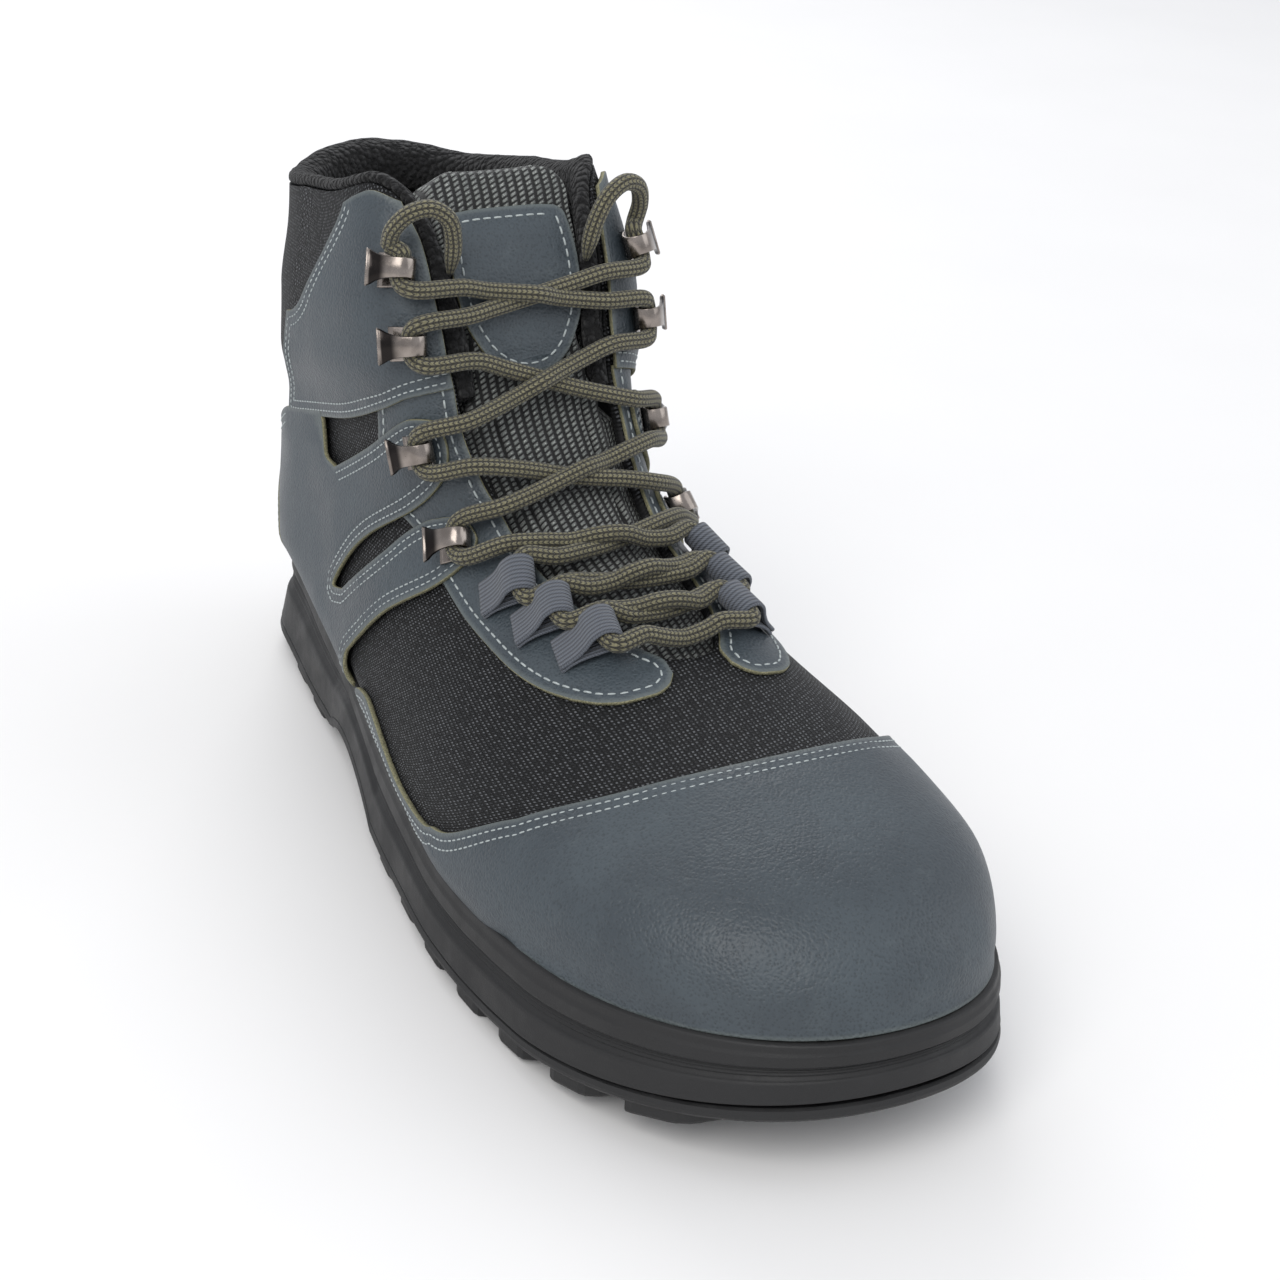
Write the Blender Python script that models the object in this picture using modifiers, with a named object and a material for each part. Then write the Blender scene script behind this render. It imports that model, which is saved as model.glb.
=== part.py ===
"""A wading boot for the right foot, as an assembly of its real pieces, in metres with +Z up.

The toe points to -Y, the outer (lateral) side of the foot is at -X and the inner (medial) side at +X.
The origin is on the floor, in the middle of the heel's flat centre lug.

Every curved piece comes from one function, the outside of the lasted upper. Its sections fan out from
vertical ones across the toe box to level ones round the shaft. A place on it is given as a row, the
number of a section counted from the toe edge to the collar, and as degrees round that section, from
0 at the back or underside to 180 at the front or top, negative on the lateral side.
"""

import math

import bmesh
import bpy
import numpy as np
from mathutils.bvhtree import BVHTree
from mathutils.geometry import delaunay_2d_cdt

for old in list(bpy.data.objects):
    bpy.data.objects.remove(old, do_unlink=True)

# Sizes of the last and the shaft
LAST_LENGTH = 0.293
BALL_WIDTH = 0.106
ANKLE_WIDTH = 0.079
TOE_HEIGHT = 0.058
INSTEP_HEIGHT = 0.0985
FRONT_HEIGHT = 0.161
BACK_HEIGHT = 0.146
HEEL_SEAT = 0.042

# Sizes of the sole
HEEL_STACK = 0.034
WAIST_STACK = 0.0305
BALL_STACK = 0.025
TOE_STACK = 0.0335
TOE_SPRING = 0.013
ARCH_RISE = 0.007
LUG_HEIGHT = 0.004
TREAD_PLATE = 0.0035
HEEL_FLARE = 0.0035
INSOLE_THICKNESS = 0.0035

# Thicknesses and clearances
WALL = 0.0022
PANEL = 0.0012
PANEL_SEAT = 0.0008
CUP_SEAT = 0.0010
GAP = 0.0003
LAST_TUCK = 0.004
LINING = 0.0040
LACE = 0.0043
HOOK_WIDTH = 0.0085
HOOK_PLATE = 0.0010
LOOP_WIDTH = 0.0095

# Places along the foot, as shares of the last's length from the back of the heel
HEEL_BREAST = 0.27
ARCH_END = 0.46
TREAD_FLAT_END = 0.72

# Rows of the last in the foot: the front or top point of a section as a share of the length and a
# level on the ladder of heights, its rear or bottom point as a share of the length, its half widths
# as shares of the ball width, how far up the widest place is, the roundness of the lower and the
# upper part (2 is an ellipse, more is squarer), and how far the top leans to the big toe.
FOOT_ROWS = [
    # front  level  rear   outer  inner  widest low  high  lean
    (1.000, 0.000, 0.751, 0.470, 0.430, 0.06, 3.0, 2.25, 0.065),
    (0.992, 0.390, 0.748, 0.472, 0.434, 0.10, 3.0, 2.25, 0.067),
    (0.966, 0.755, 0.741, 0.476, 0.440, 0.18, 3.2, 2.30, 0.070),
    (0.915, 1.000, 0.730, 0.486, 0.450, 0.27, 3.6, 2.35, 0.073),
    (0.833, 1.110, 0.703, 0.508, 0.468, 0.28, 4.0, 2.25, 0.075),
    (0.751, 1.220, 0.642, 0.518, 0.476, 0.27, 4.0, 2.15, 0.074),
    (0.669, 1.350, 0.539, 0.495, 0.445, 0.26, 3.8, 2.10, 0.069),
    (0.594, 1.510, 0.396, 0.440, 0.390, 0.24, 3.4, 2.15, 0.060),
    (0.529, 1.680, 0.239, 0.388, 0.356, 0.26, 2.8, 2.45, 0.036),
    (0.489, 1.860, 0.096, 0.356, 0.347, 0.30, 2.3, 2.90, 0.022),
    (0.475, 1.950, 0.017, 0.346, 0.340, 0.34, 2.15, 3.30, 0.014),
]

# Rows of the shaft: the same, with the rear point's share of the rise from the sole to the collar
# at the back, and the half widths as shares of the ankle's width.
SHAFT_ROWS = [
    # front  level  rear   rise   outer  inner  widest low  high  lean
    (0.461, 2.030, 0.002, 0.070, 0.446, 0.442, 0.36, 2.2, 3.70, 0.006),
    (0.440, 2.150, -0.003, 0.250, 0.436, 0.434, 0.40, 2.1, 4.20, -0.002),
    (0.426, 2.270, 0.007, 0.410, 0.448, 0.444, 0.42, 2.1, 4.30, -0.006),
    (0.412, 2.400, 0.020, 0.562, 0.488, 0.486, 0.43, 2.1, 4.20, -0.008),
    (0.398, 2.570, 0.027, 0.714, 0.486, 0.486, 0.44, 2.1, 4.40, -0.010),
    (0.377, 2.760, 0.024, 0.866, 0.450, 0.452, 0.46, 2.1, 5.00, -0.010),
    (0.337, 3.000, 0.015, 1.000, 0.414, 0.418, 0.48, 2.2, 5.50, -0.008),
]
COLLAR_ROW = len(FOOT_ROWS) + len(SHAFT_ROWS) - 1

# The throat's edge on one side, from the middle of its base up to the collar's front corner: row and
# share of the section's half width.
THROAT_EDGE = [
    (6.00, 0.00),
    (6.06, 0.12),
    (6.35, 0.23),
    (7.00, 0.35),
    (8.00, 0.45),
    (10.0, 0.54),
    (12.0, 0.61),
    (14.0, 0.56),
    (15.5, 0.61),
    (16.4, 0.69),
    (16.85, 0.80),
]

# The collar from that corner back to the heel seam: row and degrees.
COLLAR_EDGE = [
    (17.00, 126.0),
    (16.92, 110.0),
    (16.70, 84.0),
    (16.62, 52.0),
    (16.84, 22.0),
    (16.96, 0.0),
]


def smooth_curve(knots, values, at):
    """Value at each place of a cubic through the knots that never overshoots them, straight beyond."""
    knots = np.asarray(knots, float)
    values = np.asarray(values, float)
    at = np.asarray(at, float)
    step = np.diff(knots)
    slope = np.diff(values) / step
    tangent = np.zeros_like(values)
    left, right = slope[:-1], slope[1:]
    same = left * right > 0
    weight_left = 2 * step[1:] + step[:-1]
    weight_right = step[1:] + 2 * step[:-1]
    with np.errstate(divide="ignore", invalid="ignore"):
        mean = (weight_left + weight_right) / (weight_left / left + weight_right / right)
    tangent[1:-1] = np.where(same, mean, 0.0)
    tangent[0], tangent[-1] = slope[0], slope[-1]
    i = np.clip(np.searchsorted(knots, at, side="right") - 1, 0, len(step) - 1)
    s = np.clip((at - knots[i]) / step[i], 0.0, 1.0)
    a, b = values[i], values[i + 1]
    ta, tb = tangent[i] * step[i], tangent[i + 1] * step[i]
    inside = (
        a * (1 + 2 * s) * (1 - s) ** 2
        + ta * s * (1 - s) ** 2
        + b * s * s * (3 - 2 * s)
        + tb * s * s * (s - 1)
    )
    beyond = np.where(at > knots[-1], (at - knots[-1]) * tangent[-1], 0.0)
    return inside + beyond


def feather_height(along):
    """Height of the edge where upper and sole meet, over a place along the foot."""
    places = np.array([0.0, 0.20, 0.42, 0.68, 0.80, 1.0]) * LAST_LENGTH
    toe_rise = TOE_STACK - BALL_STACK
    heights = [HEEL_STACK, HEEL_STACK - 0.0005, WAIST_STACK, BALL_STACK,
               BALL_STACK + 0.25 * toe_rise, TOE_STACK]
    return smooth_curve(places, heights, along)


def ladder_height(level):
    """Height of a level: 0 toe edge, 1 toe box, 2 instep, 3 front of the collar."""
    rungs = [TOE_STACK, TOE_HEIGHT, INSTEP_HEIGHT, FRONT_HEIGHT]
    return np.interp(level, [0, 1, 2, 3], rungs)


def build_rows():
    """The table of sections in metres: one array for each column."""
    rows = []
    for front, level, rear, outer, inner, widest, low, high, lean in FOOT_ROWS:
        rear_along = rear * LAST_LENGTH
        rows.append((front * LAST_LENGTH, ladder_height(level), rear_along,
                     feather_height(rear_along) - LAST_TUCK, outer * BALL_WIDTH, inner * BALL_WIDTH,
                     widest, low, high, lean * BALL_WIDTH))
    for front, level, rear, rise, outer, inner, widest, low, high, lean in SHAFT_ROWS:
        rear_up = HEEL_STACK + rise * (BACK_HEIGHT - HEEL_STACK)
        rows.append((front * LAST_LENGTH, ladder_height(level), rear * LAST_LENGTH, rear_up,
                     outer * ANKLE_WIDTH, inner * ANKLE_WIDTH, widest, low, high, lean * BALL_WIDTH))
    return np.array(rows)


ROWS = build_rows()
ROW_NUMBERS = np.arange(len(ROWS))


def section_values(row):
    """The ten section columns at any row, between the table's rows too."""
    return [smooth_curve(ROW_NUMBERS, ROWS[:, column], row) for column in range(ROWS.shape[1])]


def foot_frame(row, degrees):
    """Along, across and up of a place on the outside of the upper."""
    front_a, front_u, rear_a, rear_u, outer, inner, widest, low, high, lean = section_values(row)
    angle = np.radians(np.clip(np.abs(degrees), 0.0, 180.0))
    is_low = angle < math.pi / 2
    sine = np.clip(np.sin(angle), 0.0, 1.0)
    cosine = np.clip(np.abs(np.cos(angle)), 0.0, 1.0)
    share = np.where(is_low, sine ** (2 / low), sine ** (2 / high))
    reach = np.where(is_low, widest * (1 - cosine ** (2 / low)),
                     widest + (1 - widest) * cosine ** (2 / high))
    half = np.where(np.asarray(degrees) < 0, -outer, inner)
    return (rear_a + reach * (front_a - rear_a), lean * reach + half * share,
            rear_u + reach * (front_u - rear_u))


def to_world(along, across, up):
    return np.stack([across, HEEL_SEAT - along, up + 0 * along], axis=-1)


def surface(row, degrees):
    """World place on the outside of the upper."""
    return to_world(*foot_frame(np.asarray(row, float), np.asarray(degrees, float)))


def outward(row, degrees):
    """Unit normal of the upper's outside."""
    row = np.asarray(row, float) + 0 * np.asarray(degrees, float)
    degrees = np.asarray(degrees, float) + 0 * row
    step_row, step_deg = 0.02, 0.6
    turned = wrap(degrees + step_deg), wrap(degrees - step_deg)
    along_section = surface(row, turned[0]) - surface(row, turned[1])
    up_rows = surface(row + step_row, degrees) - surface(np.maximum(row - step_row, 0.0), degrees)
    normal = np.cross(up_rows, along_section)
    normal /= np.maximum(np.linalg.norm(normal, axis=-1, keepdims=True), 1e-12)
    core = surface(row, np.where(degrees < 0, -90.0, 90.0))
    core[..., 0] = 0.0
    sign = np.sign(np.sum((surface(row, degrees) - core) * normal, axis=-1, keepdims=True))
    return normal * np.where(sign == 0, 1.0, sign)


def wrap(degrees):
    """Degrees brought back between -180 and 180."""
    return (np.asarray(degrees) + 180.0) % 360.0 - 180.0


def lifted(row, degrees, lift):
    """World place a distance outside (or, negative, inside) the upper's outer face."""
    lift = np.asarray(lift, float)
    return surface(row, degrees) + outward(row, degrees) * lift[..., None]


def unit(vectors):
    """Vectors scaled to a length of one."""
    return vectors / np.maximum(np.linalg.norm(vectors, axis=-1, keepdims=True), 1e-12)


def even_shares(points, count):
    """Shares of a dense line's length that cut it in even steps, as positions on its own index."""
    length = np.concatenate([[0], np.cumsum(np.linalg.norm(np.diff(points, axis=0), axis=1))])
    return np.interp(np.linspace(0, length[-1], count), length, np.arange(len(points)))


def feather_line(side, rise=0.0):
    """Row and degrees of the edge on the sole (or a line above it), toe to heel, one side."""
    heel_rows = np.linspace(8.0, 11.9, 400)
    values = section_values(heel_rows)
    clear = values[3] - feather_height(values[2]) - rise
    heel_row = float(np.interp(0.0, clear, heel_rows))
    rows = heel_row * (1 - np.cos(np.linspace(0, math.pi, 400))) / 2
    low, high = np.zeros_like(rows), np.full_like(rows, 180.0)
    for _ in range(40):
        middle = (low + high) / 2
        along, _, up = foot_frame(rows, side * np.maximum(middle, 1e-6))
        above = up > feather_height(along) + rise
        high = np.where(above, middle, high)
        low = np.where(above, low, middle)
    degrees = (low + high) / 2
    degrees[0], degrees[-1] = 180.0, 0.0
    return rows, degrees


def front_degrees(row, share):
    """Degrees of a place on the front face, a share of the half width from the middle."""
    high = section_values(row)[8]
    sine = np.clip(np.abs(share), 0.0, 1.0) ** (high / 2)
    return 180.0 - np.degrees(np.arcsin(sine))


def top_line():
    """Row and degrees of the top line, densely."""
    edge = [(row, float(front_degrees(row, share))) for row, share in THROAT_EDGE] + COLLAR_EDGE
    knots = np.arange(len(edge))
    at = np.linspace(0, len(edge) - 1, 400)
    rows = smooth_curve(knots, [p[0] for p in edge], at)
    degrees = smooth_curve(knots, [p[1] for p in edge], at)
    return rows, degrees


# How the grid's lines run up from the sole: a share of the edge on the sole and of the top line
FAN = [(0.0, 0.0), (0.16, 0.035), (0.34, 0.10), (0.50, 0.27), (0.62, 0.42), (0.76, 0.58), (1.0, 1.0)]


def side_grid(side, around, levels):
    """Row and degrees over one side of the upper, from the sole's edge to the top line."""
    edge_rows, edge_degrees = feather_line(side)
    top_rows, top_degrees = top_line()
    edge_at = even_shares(surface(edge_rows, side * edge_degrees), 1001)
    top_at = even_shares(surface(top_rows, side * top_degrees), 1001)
    low_share = around
    high_share = smooth_curve([f[0] for f in FAN], [f[1] for f in FAN], around)
    grid = np.linspace(0, 1, 1001)
    index_low = np.interp(low_share, grid, edge_at)
    index_high = np.interp(high_share, grid, top_at)
    base = np.arange(400)
    r0, d0 = np.interp(index_low, base, edge_rows), np.interp(index_low, base, edge_degrees)
    r1, d1 = np.interp(index_high, base, top_rows), np.interp(index_high, base, top_degrees)
    v = levels[:, None]
    return r0 * (1 - v) + r1 * v, d0 * (1 - v) + d1 * v


END_CROWDING = 0.45


def crowded(count):
    """Shares of the way round from toe to heel, closer together at both ends."""
    even = np.linspace(0, 1, count + 1)
    return even - END_CROWDING * np.sin(2 * math.pi * even) / (2 * math.pi)


def loop_grid(count, levels):
    """Points of the upper's outside: levels by places, round from the toe by the outer side."""
    around = crowded(count)
    rows, degrees = side_grid(-1, around, levels)
    outer = surface(rows, -degrees)
    rows, degrees = side_grid(1, around[::-1], levels)
    inner = surface(rows, degrees)
    return np.concatenate([outer[:, :-1], inner[:, :-1]], axis=1)


# Collections, materials and mesh tools

MODEL = bpy.data.collections.new("wading_boot")
CUTTERS = bpy.data.collections.new("cutters")
bpy.context.scene.collection.children.link(MODEL)
bpy.context.scene.collection.children.link(CUTTERS)


def make_material(name, colour, roughness, metallic=0.0):
    material = bpy.data.materials.new(name)
    material.use_nodes = True
    shader = material.node_tree.nodes["Principled BSDF"]
    shader.inputs["Base Color"].default_value = (*colour, 1.0)
    shader.inputs["Roughness"].default_value = roughness
    shader.inputs["Metallic"].default_value = metallic
    return material


LEATHER = make_material("blue_grey_leather", (0.095, 0.125, 0.135), 0.5)
TEXTILE = make_material("dark_mesh", (0.03, 0.033, 0.033), 0.85)
FLEECE = make_material("black_lining", (0.012, 0.012, 0.013), 0.95)
KNIT = make_material("grey_knit", (0.06, 0.065, 0.06), 0.9)
RUBBER = make_material("black_rubber", (0.015, 0.015, 0.016), 0.7)
FOAM = make_material("dark_foam", (0.022, 0.024, 0.026), 0.75)
METAL = make_material("gunmetal", (0.42, 0.40, 0.39), 0.28, 1.0)
BRAID = make_material("olive_braid", (0.10, 0.10, 0.06), 0.8)
WEBBING = make_material("grey_webbing", (0.10, 0.11, 0.13), 0.8)


def add_mesh(name, points, faces, material, collection=MODEL):
    mesh = bpy.data.meshes.new(name)
    mesh.from_pydata([tuple(map(float, p)) for p in points], [], [tuple(map(int, f)) for f in faces])
    mesh.validate()
    thing = bpy.data.objects.new(name, mesh)
    collection.objects.link(thing)
    mesh.materials.append(material)
    for face in mesh.polygons:
        face.use_smooth = True
    return thing


def grid_faces(levels, places, closed):
    """Quads over a grid of points, level by level, closed round each level if asked."""
    last = places if closed else places - 1
    return [(i * places + j, (i + 1) * places + j, (i + 1) * places + (j + 1) % places,
             i * places + (j + 1) % places) for i in range(levels - 1) for j in range(last)]


def face_out(thing):
    """Turns every face of a closed mesh outwards."""
    work = bmesh.new()
    work.from_mesh(thing.data)
    bmesh.ops.recalc_face_normals(work, faces=work.faces)
    work.to_mesh(thing.data)
    work.free()
    return thing


def thicken(thing, inward, thickness):
    """Gives an open surface a wall, inward (1) or outward (-1) of its faces' front."""
    shell = thing.modifiers.new("wall", "SOLIDIFY")
    shell.thickness = thickness
    shell.offset = -1.0 if inward else 1.0
    shell.use_even_offset = True
    shell.use_quality_normals = True
    return thing


# Upper: one hollow wall, open at the throat, the collar and underneath

UPPER_PLACES = 36
UPPER_LEVELS = 11


UPPER_GRID = loop_grid(UPPER_PLACES, np.linspace(0, 1, UPPER_LEVELS))
UPPER_FACES = grid_faces(UPPER_LEVELS, UPPER_GRID.shape[1], True)
UPPER_FACETS = BVHTree.FromPolygons([tuple(p) for p in UPPER_GRID.reshape(-1, 3)], UPPER_FACES)
SEARCH = 0.006


def make_upper():
    upper = add_mesh("upper", UPPER_GRID.reshape(-1, 3), UPPER_FACES, LEATHER)
    return thicken(upper, True, WALL)


def seated(rows, degrees, lift):
    """Places a distance outside the upper, and outside its flat facets where these stand proud of it."""
    rows, degrees = np.broadcast_arrays(np.asarray(rows, float), np.asarray(degrees, float))
    points, normals = surface(rows, degrees), outward(rows, degrees)
    raised = []
    for point, normal in zip(points.reshape(-1, 3), normals.reshape(-1, 3)):
        hit = UPPER_FACETS.ray_cast(tuple(point + SEARCH * normal), tuple(-normal), 2 * SEARCH)
        proud = SEARCH - hit[3] if hit[3] is not None else 0.0
        raised.append(point + normal * (max(0.0, proud) + lift))
    return np.array(raised).reshape(points.shape)


# Sole

SOLE_PLACES = 32


def edge_loop(count):
    """The upper's edge on the sole, round from the toe by the outer side, as world points."""
    return loop_grid(count, np.array([0.0, 1.0]))[0]


def outset(loop, distance):
    """A plan loop moved outwards by a distance, each point along its own normal."""
    ahead, behind = np.roll(loop, -1, axis=0), np.roll(loop, 1, axis=0)
    run = (ahead - behind)[:, :2]
    run /= np.linalg.norm(run, axis=1, keepdims=True)
    moved = loop.copy()
    centre = loop[:, :2].mean(axis=0)
    normal = np.stack([run[:, 1], -run[:, 0]], axis=1)
    side = np.sign(np.sum(normal * (loop[:, :2] - centre), axis=1))
    flip = 1.0 if side.sum() > 0 else -1.0
    moved[:, :2] += flip * normal * np.reshape(distance, (-1, 1))
    return moved


def ground_height(along):
    """Height of the tread's running surface: flat heel, raised arch, flat tread, toe spring."""
    share = np.asarray(along, float) / LAST_LENGTH
    arch = np.clip((share - HEEL_BREAST) / (ARCH_END - HEEL_BREAST), 0.0, 1.0)
    spring = np.clip((share - TREAD_FLAT_END) / (1.0 - TREAD_FLAT_END), 0.0, None)
    return ARCH_RISE * np.sin(math.pi * arch) ** 0.7 + TOE_SPRING * spring ** 1.7


def slab(name, rings, material):
    """A closed solid from rings of even count, with a ladder of strips across its two ends."""
    levels, places, _ = rings.shape
    faces = grid_faces(levels, places, True)
    half = places // 2
    for ring in (0, (levels - 1) * places):
        for i in range(half):
            a, b = ring + i, ring + i + 1
            c, d = ring + (places - i - 1) % places, ring + (places - i) % places
            faces.append((a, b, c) if i == 0 else ((a, b, d) if i == half - 1 else (a, b, c, d)))
    return face_out(add_mesh(name, rings.reshape(-1, 3), faces, material))


# Side of the midsole: share of the height from the tread plate up to the upper's edge, and outset
MIDSOLE_STEPS = [(0.0, 0.0048), (0.40, 0.0042), (0.44, 0.0030), (0.64, 0.0027), (0.68, 0.0038),
                 (0.90, 0.0036), (1.0, 0.0028)]


def heel_flare(loop):
    """Outset added round the heel, fading to nothing at the arch."""
    along = HEEL_SEAT - loop[:, 1]
    return HEEL_FLARE * np.clip(1 - along / (HEEL_BREAST * LAST_LENGTH), 0, 1) ** 0.5


def make_midsole():
    edge = edge_loop(SOLE_PLACES)
    top = edge[:, 2] - GAP
    bottom = ground_height(HEEL_SEAT - tread_edge()[:, 1]) + LUG_HEIGHT + TREAD_PLATE + GAP
    rings = []
    for share, distance in MIDSOLE_STEPS:
        ring = outset(edge, distance + (1 - share) * heel_flare(edge))
        ring[:, 2] = bottom + share * (top - bottom)
        rings.append(ring)
    return slab("midsole", np.array(rings), FOAM)


def sole_half_width(along, side):
    """Distance from the centre line to the tread plate's edge, at places along the foot."""
    loop = tread_edge()
    chosen = loop[: SOLE_PLACES + 1] if side < 0 else np.concatenate([loop[SOLE_PLACES:], loop[:1]])[::-1]
    places = HEEL_SEAT - chosen[:, 1]
    order = np.argsort(places)
    return np.interp(along, places[order], np.abs(chosen[order, 0]))


def tread_edge():
    edge = edge_loop(SOLE_PLACES)
    return outset(edge, 0.0048 + heel_flare(edge))


def make_plate():
    """The tread plate that the lugs stand on."""
    edge = tread_edge()
    along = HEEL_SEAT - edge[:, 1]
    low = ground_height(along) + LUG_HEIGHT
    rings = []
    for distance, height in ((-0.0008, 0.0), (0.0004, 0.0012), (0.0, TREAD_PLATE)):
        ring = outset(edge, np.full(len(edge), distance))
        ring[:, 2] = low + height
        rings.append(ring)
    return slab("outsole", np.array(rings), RUBBER)


def add_lug(places, corners):
    """One lug: a plan outline of (along, across) corners, from the running surface into the plate."""
    base = len(places[0])
    count = len(corners)
    for depth in (0.0, LUG_HEIGHT + 0.3 * TREAD_PLATE):
        for along, across in corners:
            places[0].append((across, HEEL_SEAT - along, float(ground_height(along)) + depth))
    places[1].append(tuple(base + i for i in range(count)))
    places[1].append(tuple(base + count + i for i in range(count))[::-1])
    places[1].extend((base + i, base + (i + 1) % count, base + count + (i + 1) % count,
                      base + count + i)[::-1] for i in range(count))


# Tread: pitch and depth of the side lugs, and the share of the half width that they take
LUG_PITCH = 0.0215
LUG_GROOVE = 0.0065
SIDE_LUG = 0.44
CENTRE_LUG = 0.30
CENTRE_TIP = 0.4
LUG_INSET = 0.0008
LUG_RAKE = 0.004


def make_lugs():
    """Side lugs along both edges and raked bars down the middle, in heel and forefoot."""
    places = ([], [])
    heel = (0.008, HEEL_BREAST * LAST_LENGTH - 0.006)
    fore = (ARCH_END * LAST_LENGTH + 0.004, 0.965 * LAST_LENGTH)
    for start, end in (heel, fore):
        count = max(2, round((end - start) / LUG_PITCH))
        pitch = (end - start) / count
        for i in range(count):
            a = start + i * pitch
            b = a + pitch - LUG_GROOVE
            for side in (-1, 1):
                wide_a, wide_b = sole_half_width(a, side), sole_half_width(b, side)
                add_lug(places, [(a, side * (wide_a - LUG_INSET)), (b, side * (wide_b - LUG_INSET)),
                                 (b + LUG_RAKE, side * wide_b * (1 - SIDE_LUG)),
                                 (a + LUG_RAKE, side * wide_a * (1 - SIDE_LUG))][::side])
            mid = sole_half_width((a + b) / 2, -1) * CENTRE_LUG
            if mid > 0.005 and i < count - 1:
                tip = mid * CENTRE_TIP
                add_lug(places, [(a, -mid), (a + LUG_RAKE, tip), (a, mid),
                                 (b, mid), (b + LUG_RAKE, tip), (b, -mid)])
    return face_out(add_mesh("lugs", *places, RUBBER, CUTTERS))


def make_outsole():
    """The tread plate with its lugs joined on."""
    plate, lugs = make_plate(), make_lugs()
    join = plate.modifiers.new("lugs", "BOOLEAN")
    join.operation = "UNION"
    join.solver = "EXACT"
    join.use_self = False
    join.object = lugs
    lugs.hide_render = True
    lugs.display_type = "WIRE"
    return plate


def make_insole():
    edge = edge_loop(18)
    rings = []
    for inset, height in ((0.0052, 0.0), (0.0045, 0.4), (0.0052, 1.0)):
        ring = outset(edge, np.full(len(edge), -inset))
        ring[:, 2] = edge[:, 2] + GAP + height * INSOLE_THICKNESS
        rings.append(ring)
    return slab("insole", np.array(rings), FLEECE)


# Tongue

TONGUE_THICKNESS = 0.0075
TONGUE_CLEARANCE = 0.0012
TONGUE_RECESS = 0.0025
LINING_SEAT = 0.0018


# Share of the half width over which the tongue's raised middle falls to its wings
TONGUE_STEP = 0.07

# Shape of the tongue by row: half its width, and half the raised middle between the lining's edges,
# as shares of the half width
TONGUE_ROWS = [5.4, 7.0, 10.0, 12.6, 13.2, 14.2, 15.0, 16.3, 17.2]
TONGUE_HALF = [0.34, 0.52, 0.72, 0.74, 0.74, 0.74, 0.74, 0.76, 0.76]
CROWN_HALF = [0.00, 0.27, 0.46, 0.50, 0.41, 0.36, 0.42, 0.52, 0.56]


def tongue_lift(row, share):
    """How far the tongue's face lies from the upper's outer face: raised middle, low under the lining."""
    crown = np.interp(row, TONGUE_ROWS, CROWN_HALF)
    lining = np.interp(row, [11.8, 12.5], [0.0, LINING + LINING_SEAT])
    low = -(WALL + TONGUE_CLEARANCE) - lining
    high = np.interp(row, [6.5, 7.2], [-(WALL + TONGUE_CLEARANCE), -TONGUE_RECESS])
    blend = np.clip((crown + TONGUE_STEP - np.abs(share)) / TONGUE_STEP, 0.0, 1.0)
    return low + (high - low) * blend


def make_tongue():
    rows = np.concatenate([np.linspace(5.4, 12, 8), np.linspace(12.6, 17.2, 7)])
    half = np.interp(rows, TONGUE_ROWS, TONGUE_HALF)[:, None]
    crown = np.interp(rows, TONGUE_ROWS, CROWN_HALF)[:, None]
    spread = np.array([-1.0, -0.6, 0.0, 0.0, 0.0, 0.0, 0.0, 0.6, 1.0])
    share = spread[None, :] * half
    for column, place in ((2, -1.0), (3, -0.6), (5, 0.6), (6, 1.0)):
        share[:, column] = place * crown[:, 0]
    share[:, 1] = -(crown + TONGUE_STEP)[:, 0]
    share[:, 7] = (crown + TONGUE_STEP)[:, 0]
    degrees = np.where(share < 0, -1, 1) * front_degrees(rows[:, None] + 0 * share, share)
    lift = np.array([tongue_lift(row, share[i]) for i, row in enumerate(rows)])
    thickness = TONGUE_THICKNESS * (1 - 0.7 * np.abs(share / half) ** 3)
    row_grid = rows[:, None] + 0 * degrees
    outer = lifted(row_grid, degrees, lift)
    inner = lifted(row_grid, degrees, lift - thickness)
    points = np.concatenate([outer.reshape(-1, 3), inner.reshape(-1, 3)])
    n, m = degrees.shape
    faces = grid_faces(n, m, False)
    faces += [tuple(n * m + i for i in f[::-1]) for f in grid_faces(n, m, False)]
    rim = ([i for i in range(m)] + [i * m + m - 1 for i in range(1, n)]
           + [(n - 1) * m + i for i in range(m - 2, -1, -1)] + [i * m for i in range(n - 2, 0, -1)])
    faces += [(rim[i], rim[(i + 1) % len(rim)], n * m + rim[(i + 1) % len(rim)], n * m + rim[i])
              for i in range(len(rim))]
    return face_out(add_mesh("tongue", points, faces, KNIT))


# Panels: cut to an outline of rows and degrees, laid over the upper and given a thickness

ROW_SIZE = 9.0
DEGREE_SIZE = 0.62


def smooth_edge(points, steps):
    """A smooth run through an edge's (row, degrees) points, without its last point."""
    knots = np.arange(len(points))
    at = np.linspace(0, len(points) - 1, steps * (len(points) - 1) + 1)[:-1]
    return np.stack([smooth_curve(knots, [p[i] for p in points], at) for i in (0, 1)], axis=1)


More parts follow.
